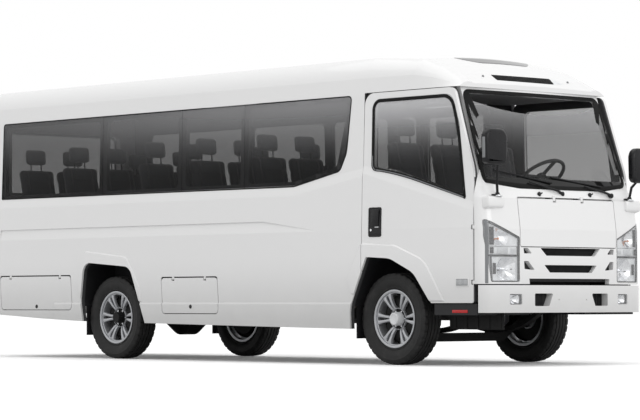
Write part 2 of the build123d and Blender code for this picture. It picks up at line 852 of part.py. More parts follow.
def make_front_bumper():
    """Front bumper with lamp pockets and two air slots."""
    height = bumper_top - bumper_low
    root = bumper_back - 2 * bumper_radius
    outer = extrude(bumper_face(bumper_half, bumper_middle, bumper_corner_reach,
                                bumper_radius, root), amount=height)
    inner = extrude(bumper_face(bumper_half - bumper_thickness, bumper_middle - bumper_thickness,
                                bumper_corner_reach - bumper_thickness,
                                bumper_radius - bumper_thickness / 2,
                                root - overrun), amount=height)
    bumper = Pos(front_x, 0, bumper_low) * (outer - inner)
    bumper &= block(front_x + bumper_back, front_x + front_reach, -bumper_half, bumper_half,
                    bumper_low, bumper_top)
    fog = nose_prism([(fog_inner, fog_low), (fog_inner, fog_top),
                      (fog_outer, fog_top), (fog_outer, fog_low)], fog_corner)
    slot = nose_prism([(slot_inner, slot_low), (slot_inner + slot_lean, slot_top),
                       (slot_outer, slot_top), (slot_outer, slot_low)], fog_corner)
    lamps = bumper & (fog + mirrored(fog))
    volume = Pos(front_x, 0, bumper_low) * (outer - inner)
    bumper = bumper - fog - mirrored(fog) - slot - mirrored(slot)
    for y in (-plate_hole_place, plate_hole_place):
        bumper -= rod((front_x + nose_cut_back, y, plate_hole_height),
                      (front_x + front_reach, y, plate_hole_height), plate_hole_radius)
    return bumper, lamps, volume


fog_corner = 10
slot_lean = -40
rear_bumper_low = 372
rear_bumper_half = 858
rear_bumper_depth = 95


def make_rear_bumper():
    """Rear bumper across the tail's foot."""
    x_in = front_x + side_rear_reach
    depth = x_in - tail_x
    points = [(tail_x + rear_bumper_round, -rear_bumper_half), (x_in, -rear_bumper_half),
              (x_in, rear_bumper_half), (tail_x + rear_bumper_round, rear_bumper_half),
              (tail_x, rear_bumper_half - rear_bumper_round),
              (tail_x, -rear_bumper_half + rear_bumper_round)]
    solid = upward(points, rear_bumper_low, tail_low)
    hollow = block(tail_x + wall, x_in, -rear_bumper_half + wall, rear_bumper_half - wall,
                   rear_bumper_low, tail_low - wall)
    return solid - hollow


rear_bumper_round = 60

# Chassis
rail_inner = 300
rail_outer = 360
rail_low = 500
rail_top = floor_height - floor_thickness
rail_front = 940
rail_inset = 90
rail_rear = side_rear_reach + rail_inset
rear_member_inset = 70
crossmember_places = (900, -1000, -1600, -2500, -4100, rail_rear + rear_member_inset)
crossmember_width = 70
crossmember_drop = 30
stay_low = 505
stay_top = 585

# Tow eyes on the rails' inner faces: their places, and the jack pads under the rails
tow_eye_places = (980, -4780)
tow_eye_radius = 14
tow_plate_half = 30
tow_plate_thickness = 20
tow_plate_lift = 25
jack_pad_place = -4500
jack_pad_half = 45
jack_pad_depth = 8


def make_tow_eyes():
    """Four flat eyes, each with an upright hole, standing inward from the rails."""
    eyes = []
    for reach in tow_eye_places:
        for side in (-1, 1):
            y0, y1 = sorted((side * (rail_inner - 2 * tow_plate_half), side * rail_inner))
            x = front_x + reach
            low = rail_low + tow_plate_lift
            plate = block(x - tow_plate_half, x + tow_plate_half, y0, y1, low,
                          low + tow_plate_thickness)
            hole_at = (x, (y0 + y1) / 2, low)
            eyes.append(plate - rod(hole_at, (x, (y0 + y1) / 2, low + tow_plate_thickness),
                                    tow_eye_radius))
    return eyes


def make_frame(bumper_volume):
    """Ladder frame: two rails, their crossmembers and the front bumper's stays."""
    rails = [
        block(front_x + rail_rear, front_x + rail_front, side * rail_inner, side * rail_outer,
              rail_low, rail_top)
        if side > 0 else
        block(front_x + rail_rear, front_x + rail_front, -rail_outer, -rail_inner,
              rail_low, rail_top)
        for side in (-1, 1)
    ]
    frame = rails[0] + rails[1]
    for place in crossmember_places:
        frame += block(front_x + place - crossmember_width / 2,
                       front_x + place + crossmember_width / 2,
                       -rail_inner, rail_inner, rail_low + crossmember_drop,
                       rail_top - crossmember_drop)
    for rail in (rail_outer, -rail_inner):
        frame += block(front_x + rail_front, front_x + bumper_middle,
                       rail - rail_outer + rail_inner, rail, stay_low, stay_top) - bumper_volume
    for side in (-1, 1):
        y0, y1 = sorted((side * rail_inner, side * rail_outer))
        x = front_x + jack_pad_place
        frame += block(x - jack_pad_half, x + jack_pad_half, y0, y1,
                       rail_low - jack_pad_depth, rail_low)
    return frame


liner_gap = 0.3
liner_thickness = 4
front_liner_inner = 400
rear_liner_inner = 520
cab_floor_thickness = 40
cab_floor_rear = -430
flap_width = 200
flap_thickness = 9
flap_low = 195
flap_top = 480
front_flap_reach = 378
rear_flap_reach = 361


def liner(shares, radius_shares, x_at, inner):
    """One wheel box: an arched shell with its inner wall."""
    y_out = body_half_width - wall - fit_gap
    outer = arch_cut(shares, radius_shares, x_at, inner, y_out, liner_thickness + liner_gap)
    hole = arch_cut(shares, radius_shares, x_at, inner + liner_thickness, y_out, liner_gap)
    shell = outer - hole
    low = arch_rise * liner_foot_share
    shell &= block(x_at - 2 * arch_reach, x_at + 2 * arch_reach, 0, body_half_width,
                   low, 2 * arch_rise)
    return shell


liner_foot_share = 0.55


def make_liners():
    """Four wheel boxes and four mudflaps."""
    parts = []
    for shares, radius_shares, x_at, inner, flap_reach in (
        (front_arch_shares, front_arch_radius_shares, front_x, front_liner_inner, front_flap_reach),
        (rear_arch_shares, rear_arch_radius_shares, rear_x, rear_liner_inner, rear_flap_reach),
    ):
        box = liner(shares, radius_shares, x_at, inner)
        box += block(x_at - flap_reach - flap_thickness, x_at - flap_reach,
                     half_track - flap_width / 2, half_track + flap_width / 2,
                     flap_low, flap_top)
        parts += [box, mirrored(box)]
    return parts


def make_floor():
    """Main floor, riser and the raised cab floor."""
    half = body_half_width - wall - fit_gap
    x_rear = front_x + side_rear_reach
    x_step = front_x + cab_floor_rear
    floor = block(x_rear, x_step, -half, half, floor_height - floor_thickness, floor_height)
    cab = block(x_step, front_x + cab_floor_front, -half, half,
                cab_floor_height - cab_floor_thickness, cab_floor_height)
    riser = block(x_step - floor_thickness, x_step, -half, half,
                  floor_height, cab_floor_height)
    floor = floor + cab + riser
    grow = liner_thickness + liner_gap * 2
    box = arch_cut(rear_arch_shares, rear_arch_radius_shares, rear_x,
                   rear_liner_inner - liner_gap, body_half_width, grow)
    floor = floor - box - mirrored(box)
    step = block(front_x + entry_rear, front_x + entry_front, half - step_depth, half,
                 floor_height - floor_thickness, floor_height)
    return floor - step


cab_floor_front = 900
step_depth = 260

# Axles, springs and driveline
beam_low = 170
beam_top = 235
beam_depth = 60
beam_half = 375
king_pin_place = 655
king_pin_radius = 16
king_pin_length = 150
beam_end_half = 34


def make_front_axle():
    """Dropped beam with an eye at each end for the king pin."""
    drop_x = beam_depth / 2
    points = [
        (-beam_half, beam_low), (beam_half, beam_low),
        (king_pin_place - beam_depth, wheel_height - beam_end_half),
        (king_pin_place, wheel_height - beam_end_half),
        (king_pin_place, wheel_height + beam_end_half),
        (king_pin_place - beam_depth, wheel_height + beam_end_half),
        (beam_half, beam_top), (-beam_half, beam_top),
        (-king_pin_place + beam_depth, wheel_height + beam_end_half),
        (-king_pin_place, wheel_height + beam_end_half),
        (-king_pin_place, wheel_height - beam_end_half),
        (-king_pin_place + beam_depth, wheel_height - beam_end_half),
    ]
    beam = along(points, front_x - drop_x, front_x + drop_x)
    for side in (-1, 1):
        at = Pos(front_x, side * king_pin_place, wheel_height)
        beam += at * Cylinder(beam_depth / 2, 2 * beam_end_half)
        beam -= at * Cylinder(king_pin_radius + fit_gap, king_pin_length)
    return beam


drum_radius = 150
drum_width = 60
knuckle_arm = 26
spindle_radius = hub_bore_radius - fit_gap
hub_face = 40


def make_knuckle():
    """Left knuckle: king pin, yoke, brake drum and spindle."""
    at = Pos(front_x, king_pin_place, wheel_height)
    pin = at * Cylinder(king_pin_radius, king_pin_length)
    reach = half_track - king_pin_place
    arm_z = beam_end_half + fit_gap
    yoke = at * block(-knuckle_arm, knuckle_arm, -knuckle_arm, reach, arm_z, arm_z + knuckle_arm)
    yoke += at * block(-knuckle_arm, knuckle_arm, -knuckle_arm, reach,
                       -arm_z - knuckle_arm, -arm_z)
    back_y = reach - drum_width + beam_clear
    plate = at * block(-knuckle_arm, knuckle_arm, back_y, reach, -arm_z - knuckle_arm,
                       arm_z + knuckle_arm)
    drum = turned_y(drum_radius, half_track - drum_inset, half_track + drum_out)
    spindle = turned_y(spindle_radius, half_track, half_track + spindle_length)
    return pin + yoke + plate + drum + spindle


beam_clear = 55
drum_inset = 4
hub_stand = 38
drum_out = rim_width / 2 - rim_dish - hub_stand - fit_gap
spindle_length = 78


def turned_y(radius, y_from, y_to, x=None, z=None):
    """A round piece on an axle line, between two places across the vehicle."""
    x = front_x if x is None else x
    z = wheel_height if z is None else z
    return rod((x, y_from, z), (x, y_to, z), radius)


axle_tube_radius = 38
diff_radius = 150
diff_half = 120


def make_rear_axle():
    """Axle tube, differential housing, drums and spindles."""
    axle = turned_y(axle_tube_radius, -half_track, half_track, rear_x)
    profile = [(-diff_half * 2, axle_tube_radius), (-diff_half * 0.6, diff_radius),
               (diff_half * 0.6, diff_radius), (diff_half * 2, axle_tube_radius)]
    face = Plane.YZ * Polygon(*(profile + [(diff_half * 2, 0), (-diff_half * 2, 0)]), align=None)
    housing = revolve(face, Axis.Y)
    axle += Pos(rear_x, 0, wheel_height) * housing
    for side in (-1, 1):
        axle += turned_y(drum_radius, side * (half_track - drum_width),
                         side * (half_track + drum_out), rear_x)
        axle += turned_y(spindle_radius, side * half_track,
                         side * (half_track + spindle_length), rear_x)
    return axle


spring_width = 60
spring_thickness = 36
spring_half_front = 560
spring_half_rear = 640
spring_eye_height = 455
hanger_width = 50


def leaf_spring(x_at, seat, half, side):
    """One leaf pack, bowed between its two hangers."""
    rise = spring_eye_height - seat
    arc = ThreePointArc((-half, rise), (0, 0), (half, rise))
    top = ThreePointArc((half, rise + spring_thickness), (0, spring_thickness),
                        (-half, rise + spring_thickness))
    edges = [arc, Line((half, rise), (half, rise + spring_thickness)), top,
             Line((-half, rise + spring_thickness), (-half, rise))]
    face = Plane.XZ * make_face(Curve() + edges)
    y = side * (rail_inner + rail_outer) / 2
    spring = Pos(x_at, y - spring_width / 2, seat) * extrude(
        face, amount=spring_width, dir=(0, 1, 0)
    )
    for end in (-1, 1):
        x = x_at + end * half
        spring += block(x - hanger_width / 2, x + hanger_width / 2, y - spring_width / 2,
                        y + spring_width / 2, spring_eye_height, rail_low)
    return spring


def make_springs():
    """Four leaf packs."""
    rear_seat = wheel_height + axle_tube_radius
    parts = []
    for side in (-1, 1):
        parts.append(leaf_spring(front_x, beam_top, spring_half_front, side))
        parts.append(leaf_spring(rear_x, rear_seat, spring_half_rear, side))
    return parts


shaft_radius = 38
gearbox_reach = -900
engine_low = 420
engine_top = 820
engine_half = 250
engine_front = 420
engine_rear = -420


def make_engine():
    """Engine and gearbox as one plain block under the cab floor."""
    block_ = block(front_x + engine_rear, front_x + engine_front, -engine_half, engine_half,
                   engine_low, engine_top)
    gearbox = block(front_x + gearbox_reach, front_x + engine_rear, -engine_half / 2,
                    engine_half / 2, engine_low, rail_low + shaft_radius * 2)
    return block_ + gearbox


def make_shaft():
    """Propeller shaft from the gearbox to the rear axle."""
    start = (front_x + gearbox_reach - fit_gap, 0, engine_low + shaft_radius * 1.5)
    end = (rear_x + diff_radius, 0, wheel_height)
    return rod(start, end, shaft_radius)


tank_front = -1500
tank_rear = -2300
tank_inner = 372
tank_outer = 760
tank_low = 330
tank_top = floor_height - floor_thickness
exhaust_radius = 32
silencer_radius = 85


def make_tank():
    """Fuel tank beside the left rail."""
    tank = block(front_x + tank_rear, front_x + tank_front, rail_outer, tank_outer,
                 tank_low, tank_top)
    return fillet(tank.edges().filter_by(Axis.X), tank_corner)


tank_corner = 40
silencer_front = -1300
silencer_rear = -1950
exhaust_y = -470
exhaust_z = 458
exhaust_end = -2480


def make_exhaust():
    """Silencer and pipes along the right rail."""
    silencer = rod((front_x + silencer_rear, exhaust_y, exhaust_z),
                   (front_x + silencer_front, exhaust_y, exhaust_z), silencer_radius)
    pipe = rod((front_x + silencer_front, exhaust_y, exhaust_z),
               (front_x + exhaust_turn, exhaust_y, exhaust_z), exhaust_radius)
    pipe += rod((front_x + exhaust_turn, exhaust_y, exhaust_z),
                (front_x + exhaust_turn, -engine_half / 2, exhaust_z), exhaust_radius)
    pipe += Pos(front_x + exhaust_turn, exhaust_y, exhaust_z) * Sphere(exhaust_radius)
    strap = block(front_x + silencer_rear + wall, front_x + silencer_rear + 2 * wall,
                  exhaust_y, -rail_outer, exhaust_z + silencer_radius / 2, rail_top - wall)
    tail = rod((front_x + silencer_rear, exhaust_y, exhaust_z),
               (front_x + exhaust_end, exhaust_y, exhaust_z), exhaust_radius)
    return silencer + pipe + strap + tail


exhaust_turn = -700


# Wheels
def make_rim():
    """Cast rim about the Y axis, its face on +Y, with six twin spokes."""
    half = rim_width / 2
    inner = bead_radius - rim_wall
    ring = [
        (bead_radius, -half + rim_flange), (rim_flange_radius, -half), (inner, -half),
        (inner, half), (rim_flange_radius, half), (bead_radius, half - rim_flange),
    ]
    barrel = revolve(Plane.XY * Polygon(*ring, align=None), Axis.Y)
    face_out = half - rim_dish
    disc_points = [
        (hub_bore_radius, face_out - hub_stand), (hub_bore_radius, face_out + hub_nose),
        (hub_radius, face_out + hub_nose), (hub_radius, face_out),
        (inner + rim_wall / 2, face_out), (inner + rim_wall / 2, face_out - hub_stand),
    ]
    disc = revolve(Plane.XY * Polygon(*disc_points, align=None), Axis.Y)
    for index in range(spoke_count):
        angle = 360 / spoke_count * index
        disc -= Rot(0, angle + 180 / spoke_count, 0) * spoke_window()
        disc -= Rot(0, angle, 0) * spoke_slit()
    return barrel + disc


hub_nose = 10
window_inner = 88
window_outer = 190
window_inner_half = 18
window_outer_half = 48
slit_inner = 118
slit_outer = 184
slit_half = 7


def spoke_window():
    """Opening between two twin spokes."""
    points = [(window_inner, -window_inner_half), (window_outer, -window_outer_half),
              (window_outer, window_outer_half), (window_inner, window_inner_half)]
    face = Plane.XZ * outline(points, slit_half * 1.5)
    return Pos(0, -rim_width, 0) * extrude(face, amount=2 * rim_width, dir=(0, 1, 0))


def spoke_slit():
    """Narrow opening down the middle of a twin spoke."""
    points = [(slit_inner, -slit_half / 2), (slit_outer, -slit_half), (slit_outer, slit_half),
              (slit_inner, slit_half / 2)]
    face = Plane.XZ * outline(points)
    return Pos(0, -rim_width, 0) * extrude(face, amount=2 * rim_width, dir=(0, 1, 0))


def make_tyre():
    """Tyre about the Y axis: bead, two sloping sidewalls and the tread's band."""
    bead_half = rim_width / 2 - rim_flange - bead_gap
    points = [
        (bead_radius, -bead_half), (bead_radius, bead_half),
        (tyre_radius, tread_half), (tyre_radius, -tread_half),
    ]
    return revolve(Plane.XY * Polygon(*points, align=None), Axis.Y)


def place_wheel(shape, x, side):
    """Stand a wheel piece at an axle end, its face outward."""
    turned = shape if side > 0 else mirrored(shape)
    return Pos(x, side * half_track, wheel_height) * turned


# Mirrors
mirror_block = (945, 1046, 662, 830, 1132, 1236)
mirror_head_place = 796
mirror_head_half = 116
mirror_head_back = 1046
mirror_head_front = bumper_middle
mirror_right_low = 1456
mirror_left_low = 1368
mirror_head_height = 264
mirror_arm_radius = 11
mirror_corner = 45
mirror_arm_foot = (1034, 719)


def make_mirrors():
    """Both mirrors: bracket, arm and head."""
    parts = []
    for side, low in ((-1, mirror_right_low), (1, mirror_left_low)):
        x0, x1, y0, y1, z0, z1 = mirror_block
        base = block(front_x + x0, front_x + x1, min(side * y0, side * y1),
                     max(side * y0, side * y1), z0, z1)
        base -= nose_solid()
        foot = (front_x + mirror_arm_foot[0] - mirror_arm_radius, side * mirror_arm_foot[1],
                z1 - mirror_arm_radius)
        neck = (front_x + (mirror_head_back + mirror_head_front) / 2,
                side * (mirror_head_place - mirror_head_half / 4), low + mirror_arm_radius * 2)
        arm = rod(foot, neck, mirror_arm_radius)
        half = mirror_head_half
        middle = side * mirror_head_place
        points = [(middle - half, low), (middle - half, low + mirror_head_height),
                  (middle + half, low + mirror_head_height), (middle + half, low)]
        head = along(points, front_x + mirror_head_back, front_x + mirror_head_front,
                     mirror_corner)
        parts.append(base + arm + head)
    return parts


# Wipers: pivot and tip places on the screen
wiper_lift = 16
wiper_radius = 6
wiper_pivots = (-40, 503)
wiper_tips = (-660, -115)
wiper_tip_tops = (1432, 1388)
wiper_pivot_place = 1044
wiper_pivot_top = 1266
wiper_tip_place = 972
wiper_foot_place = 1012


def make_wipers():
    """Two arms lying over the screen's foot."""
    parts = []
    for pivot_y, tip_y, tip_top in zip(wiper_pivots, wiper_tips, wiper_tip_tops):
        pivot = (front_x + wiper_pivot_place, pivot_y, wiper_pivot_top)
        tip = (front_x + wiper_tip_place + wiper_lift, tip_y, tip_top)
        foot = (front_x + wiper_foot_place, pivot_y, wiper_pivot_top)
        parts.append(rod(foot, pivot, wiper_radius * 2) + rod(pivot, tip, wiper_radius))
    return parts


# Steps under the cab doors
step_rear = 505
step_front = 940
step_low = 375
step_top = 455
step_outer = 848
step_inner = rail_outer


def make_steps():
    """Entry steps hung from the frame."""
    parts = []
    for side in (-1, 1):
        y0, y1 = sorted((side * step_inner, side * step_outer))
        parts.append(block(front_x + step_rear, front_x + step_front, y0, y1,
                           step_low, step_top))
        h0, h1 = sorted((side * step_inner, side * rail_inner))
        parts[-1] += block(front_x + step_front - 2 * crossmember_width, front_x + step_front,
                           h0, h1, step_low, rail_low)
    return parts


# Seats: the rows are the places of their head rests
seat_rows = (-4735, -4111, -3071, -2410, -1655)
seat_columns = (-576, -170, 576)
entry_row = seat_rows[-1]
seat_half_width = 200
seat_profile = ((40, 372), (480, 352), (512, 400), (470, 470), (120, 440), (0, 960),
                (-26, 1120), (-92, 1120), (-104, 940))
seat_profile_radii = (0, 0, 0, 40, 60, 120, 0, 0, 0)
seat_front_outline = ((-200, 340), (-200, 962), (-118, 962), (-118, 1124),
                      (118, 1124), (118, 962), (200, 962), (200, 340))
seat_front_radii = (0, 60, 0, 52, 52, 0, 60, 0)
head_rest_place = -60
leg_place = 110
leg_width = 56
leg_length = 300
leg_height = 380
leg_shift = 110
cab_seat_row = -120
cab_seat_columns = (-545, -90, 440)
cab_seat_drop = 120


def make_seat():
    """One seat without its leg: cushion, back and head rest in one rounded solid."""
    side_face = across(seat_profile, -seat_half_width, seat_half_width, seat_profile_radii)
    front_face = along(seat_front_outline, seat_profile[-1][0], seat_profile[2][0],
                       seat_front_radii)
    return side_face & front_face


def make_leg(shift, height):
    """The leg under a seat, moved sideways towards the aisle."""
    return block(leg_place, leg_place + leg_length, shift - leg_width / 2,
                 shift + leg_width / 2, 0, height)


def make_seats():
    """Every seat, each a solid of its own."""
    shell = make_seat()
    parts = []
    for row in seat_rows:
        for column in seat_columns:
            if row == entry_row and column > 0:
                continue
            shift = -leg_shift if column > 0 else leg_shift
            seat = shell + make_leg(shift, leg_height)
            parts.append(Pos(front_x + row - head_rest_place, column, floor_height) * seat)
    seat = Pos(0, 0, -cab_seat_drop) * shell + make_leg(0, leg_height - cab_seat_drop)
    for column in cab_seat_columns:
        x = front_x + cab_seat_row - head_rest_place
        parts.append(Pos(x, column, cab_floor_height) * seat)
    return parts


# Dashboard and steering wheel
dash_back = 560
dash_front = 930
dash_low = 900
dash_top = 1250


def make_dash():
    """Dashboard across the cab behind the screen's foot."""
    half = body_half_width - wall * 2
    dash = block(front_x + dash_back, front_x + dash_front, -half, half, cab_floor_height, dash_top)
    return dash & nose_solid(nose_wall + fit_gap)


wheel_place = (440, 360)
wheel_rim_radius = 200
wheel_grip_radius = 14
grip_sides = 8
wheel_centre_height = 1420
column_radius = 26
wheel_tilt = 38


def make_steering():
    """Steering wheel, its spokes and column."""
    at = Pos(front_x + wheel_place[0], wheel_place[1], wheel_centre_height) * Rot(0, -wheel_tilt, 0)
    grip = Plane.XZ * (Pos(wheel_rim_radius, 0) * RegularPolygon(wheel_grip_radius, grip_sides))
    ring = revolve(grip, Axis.Z)
    spoke = Box(2 * wheel_rim_radius, wheel_grip_radius * 2, wheel_grip_radius)
    spoke += Box(wheel_grip_radius * 2, 2 * wheel_rim_radius, wheel_grip_radius)
    hub = Cylinder(column_radius * 1.8, wheel_grip_radius * 2)
    column = Pos(0, 0, -column_length / 2) * Cylinder(column_radius, column_length)
    return at * (ring + spoke + hub + column)


column_length = 300


# Tail lamps
tail_lamp_half = 60
tail_lamp_place = 745
tail_lamp_low = 900
tail_lamp_top = 1240


def make_tail_lamps(tail):
    """Upright lamps let into the tail's corners."""
    lamps = []
    x_in = front_x + side_rear_reach
    x_out = tail_x + tail_step
    cut = None
    for side in (-1, 1):
        y0, y1 = sorted((side * (tail_lamp_place - tail_lamp_half),
                         side * (tail_lamp_place + tail_lamp_half)))
        pocket = block(x_out, x_out + wall, y0, y1, tail_lamp_low, tail_lamp_top)
        lamps.append(tail & pocket)
        cut = pocket if cut is None else cut + pocket
    return lamps, tail - cut


def main():
    """Make and write every piece."""
    os.makedirs("parts", exist_ok=True)
    pieces = {}
    left, right, panes, entry, entry_glass, flaps = make_sides()
    tail, rear_glass, boot = make_tail()
    tail_lamps, tail = make_tail_lamps(tail)
    pieces["body_side_left"] = left
    pieces["body_side_right"] = right
    pieces["body_glass"] = Part() + panes + rear_glass
    pieces["entry_door"] = entry
    pieces["entry_door_glass"] = entry_glass
    pieces.update(flaps)
    pieces["rear_wall"] = tail
    pieces["boot_lid"] = boot
    pieces["tail_lamps"] = Part() + tail_lamps

    nose, lid, grille, lamps, windscreen = make_nose()
    door, door_glass = make_door()
    for z in (door_low + hinge_inset, swage_low):
        pin_at = (front_x + door_front_reach - pin_edge_gap, body_half_width - pin_depth, z)
        door_right, nose_right = hinge(door, nose, pin_at, (0, 0, 1), (0, 1, 0), (1, 0, 0))
        door, nose = door_right, nose_right
        mirror_pin = (pin_at[0], -pin_at[1], z)
        _, nose = hinge(mirrored(door), nose, mirror_pin, (0, 0, 1), (0, -1, 0), (1, 0, 0))
    pieces["door_front_left"] = door
    pieces["door_glass_left"] = door_glass
    pieces["door_front_right"] = mirrored(door)
    pieces["door_glass_right"] = mirrored(door_glass)
    pieces["cab_front"] = nose
    pieces["front_lid"] = lid
    pieces["grille"] = cut_grille(grille)
    pieces["grille_backing"] = make_backing()
    pieces["windscreen"] = windscreen
    bumper, fogs, bumper_volume = make_front_bumper()
    pieces["front_bumper"] = bumper
    pieces["front_lamps"] = Part() + lamps + fogs
    pieces["rear_bumper"] = make_rear_bumper()
    pieces["roof_panel"] = make_roof()
    pieces["roof_front_cap"] = make_cap()

    pieces["chassis_frame"] = make_frame(bumper_volume)
    pieces["tow_eyes"] = Part() + make_tow_eyes()
    pieces["floor"] = make_floor()
    pieces["arch_liners"] = Part() + make_liners()
    pieces["engine_block"] = make_engine()
    pieces["fuel_tank"] = make_tank()
    pieces["exhaust"] = make_exhaust()
    pieces["front_axle"] = make_front_axle()
    pieces["rear_axle"] = make_rear_axle()
    pieces["propeller_shaft"] = make_shaft() - pieces["engine_block"] - pieces["rear_axle"]
    pieces["leaf_springs"] = Part() + make_springs()
    knuckle = make_knuckle()
    pieces["knuckle_left"] = knuckle
    pieces["knuckle_right"] = mirrored(knuckle)
    rim = make_rim()
    tyre = make_tyre()
    for place, x in (("front", front_x), ("rear", rear_x)):
        for name, side in (("right", -1), ("left", 1)):
            pieces[f"rim_{place}_{name}"] = place_wheel(rim, x, side)
            pieces[f"tyre_{place}_{name}"] = place_wheel(tyre, x, side)
    pieces["mirrors"] = Part() + make_mirrors()
    pieces["wipers"] = Part() + [wiper - nose_solid() for wiper in make_wipers()]
    pieces["door_steps"] = Part() + make_steps()
    pieces["seats"] = Part() + make_seats()
    pieces["dashboard"] = make_dash()
    pieces["steering_wheel"] = make_steering() - pieces["dashboard"]
    for name, shape in pieces.items():
        export(shape, name)


main()
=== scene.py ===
# %% [markdown]
# A coach-built minibus with a forward-control cab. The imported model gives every
# panel its place, and this notebook dresses it: finishes first, then the pieces that
# a drawing of plain solids leaves out, such as seals, lamps, tread and cushions.

# %% Load the frame
import math

import bmesh
import bpy
from mathutils import Euler, Matrix, Vector
from mathutils.bvhtree import BVHTree


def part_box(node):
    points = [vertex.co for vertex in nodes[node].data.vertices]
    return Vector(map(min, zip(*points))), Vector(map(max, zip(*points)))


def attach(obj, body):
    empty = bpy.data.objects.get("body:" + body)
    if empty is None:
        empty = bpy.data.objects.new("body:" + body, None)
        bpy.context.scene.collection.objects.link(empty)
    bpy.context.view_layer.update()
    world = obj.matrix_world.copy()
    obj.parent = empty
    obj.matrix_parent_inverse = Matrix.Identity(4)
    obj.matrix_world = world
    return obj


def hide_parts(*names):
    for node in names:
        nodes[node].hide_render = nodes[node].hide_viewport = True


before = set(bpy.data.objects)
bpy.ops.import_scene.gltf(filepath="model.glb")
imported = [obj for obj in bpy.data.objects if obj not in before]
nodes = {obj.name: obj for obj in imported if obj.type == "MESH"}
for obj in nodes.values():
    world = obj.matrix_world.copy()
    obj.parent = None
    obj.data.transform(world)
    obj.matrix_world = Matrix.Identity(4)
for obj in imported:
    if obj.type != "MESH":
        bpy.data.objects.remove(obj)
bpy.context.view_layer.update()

# %% [markdown]
# The camera stands low, ahead of the vehicle's right corner, with a long lens. Its
# place comes from fitting the edges and wheels of the photograph, so a straight line
# on the vehicle falls where it does in the picture.

# %% Camera
PHOTO_WIDTH = 640
FOCAL_PIXELS = 2776.15
SENSOR_WIDTH = 36.0
FAR_CLIP = 200.0
CAMERA_PLACE = (16.958, -15.196, 0.478)
CAMERA_TURN, CAMERA_PITCH, CAMERA_ROLL = 47.547, 1.881, -0.085

eye = bpy.data.cameras.new("camera")
eye.sensor_width = SENSOR_WIDTH
eye.lens = FOCAL_PIXELS / PHOTO_WIDTH * SENSOR_WIDTH
eye.clip_end = FAR_CLIP
camera = bpy.data.objects.new("camera", eye)
bpy.context.scene.collection.objects.link(camera)
look = Euler((math.radians(90 + CAMERA_PITCH), 0, math.radians(CAMERA_TURN))).to_matrix()
look = look @ Matrix.Rotation(math.radians(CAMERA_ROLL), 3, "Z")
camera.matrix_world = Matrix.Translation(CAMERA_PLACE) @ look.to_4x4()
bpy.context.scene.camera = camera
bpy.context.scene.view_settings.view_transform = "Standard"
print("lens", round(eye.lens, 2), "mm")

# %% [markdown]
# Node sums are easier to read as Python sums. A small class holds one socket and adds
# a Math node for each sign, and one method adds any other node from its settings and
# the values or links of its sockets.


# %% Socket sums
def plug(tree, socket, value):
    """Link a socket to a tap, or give it a value."""
    if isinstance(value, Tap):
        tree.links.new(value.socket, socket)
    elif isinstance(value, (tuple, list)) and len(value) == 3 and socket.type == "RGBA":
        socket.default_value = (*value, 1.0)
    else:
        socket.default_value = value


class Tap:
    """One output socket that can be used in Python sums."""

    def __init__(self, tree, socket):
        self.tree, self.socket = tree, socket

    def node(self, kind, settings=None, out=0, **values):
        """A new node. An input's name has _ for a space, or is i and its number."""
        made = self.tree.nodes.new("ShaderNode" + kind)
        for name, value in (settings or {}).items():
            if name == "stops":
                ramp = made.color_ramp
                while len(ramp.elements) < len(value):
                    ramp.elements.new(1.0)
                for stop, (place, shade) in zip(ramp.elements, value):
                    stop.position = place
                    stop.color = (shade, shade, shade, 1.0)
            else:
                setattr(made, name, value)
        for name, value in values.items():
            key = int(name[1:]) if name[0] == "i" and name[1:].isdigit() else name.replace("_", " ")
            plug(self.tree, made.inputs[key], value)
        return Tap(self.tree, made.outputs[out])

    def sum(self, operation, first, second):
        return self.node("Math", {"operation": operation}, i0=first, i1=second)

    def __add__(self, other):
        return self.sum("ADD", self, other)

    def __sub__(self, other):
        return self.sum("SUBTRACT", self, other)

    def __rsub__(self, other):
        return self.sum("SUBTRACT", other, self)

    def __mul__(self, other):
        return self.sum("MULTIPLY", self, other)

    def between(self, low, high):
        """0 below low, 1 above high, smooth between."""
        return self.node("MapRange", {"interpolation_type": "SMOOTHSTEP"}, Value=self,
                         From_Min=low, From_Max=high)

    def blend(self, first, second):
        """A colour between two, by this share."""
        return self.node("Mix", {"data_type": "RGBA"}, out=2, i0=self, i6=first, i7=second)


class Finish:
    """A material with one Principled shader, and the coordinates of its piece."""

    def __init__(self, name):
        self.material = bpy.data.materials.new(name)
        self.material.use_nodes = True
        self.tree = self.material.node_tree
        self.shader = self.tree.nodes["Principled BSDF"]
        place = self.tree.nodes.new("ShaderNodeTexCoord").outputs["Object"]
        self.place = Tap(self.tree, place)
        split = self.tree.nodes.new("ShaderNodeSeparateXYZ")
        plug(self.tree, split.inputs[0], self.place)
        self.x, self.y, self.z = (Tap(self.tree, out) for out in split.outputs)

    def set(self, **values):
        for name, value in values.items():
            plug(self.tree, self.shader.inputs[name.replace("_", " ")], value)
        return self

    def noise(self, scale, detail=2.0, roughness=0.5):
        return self.place.node("TexNoise", Vector=self.place, Scale=scale, Detail=detail,
                               Roughness=roughness)

    def bumps(self, height, strength, distance):
        normal = height.node("Bump", Height=height, Strength=strength, Distance=distance)
        return self.set(Normal=normal)


# %% [markdown]
# The paint is a plain white with a clear coat over it. Fresh paint isn't perfectly
# flat: a very fine ripple breaks the reflections. The lower skirts are painted a
# little greyer, unevenly, a painted shade for the dimmer light low on the body.

# %% Painted, glazed and moulded finishes
# Painted shade: the paint greys from the upper height down to the lower one, towards these shares of
# its colour.
LOW_SHADE_FOOT, LOW_SHADE_TOP, LOW_SHADE_SHARES = 0.25, 0.85, (0.72, 0.72, 0.715)
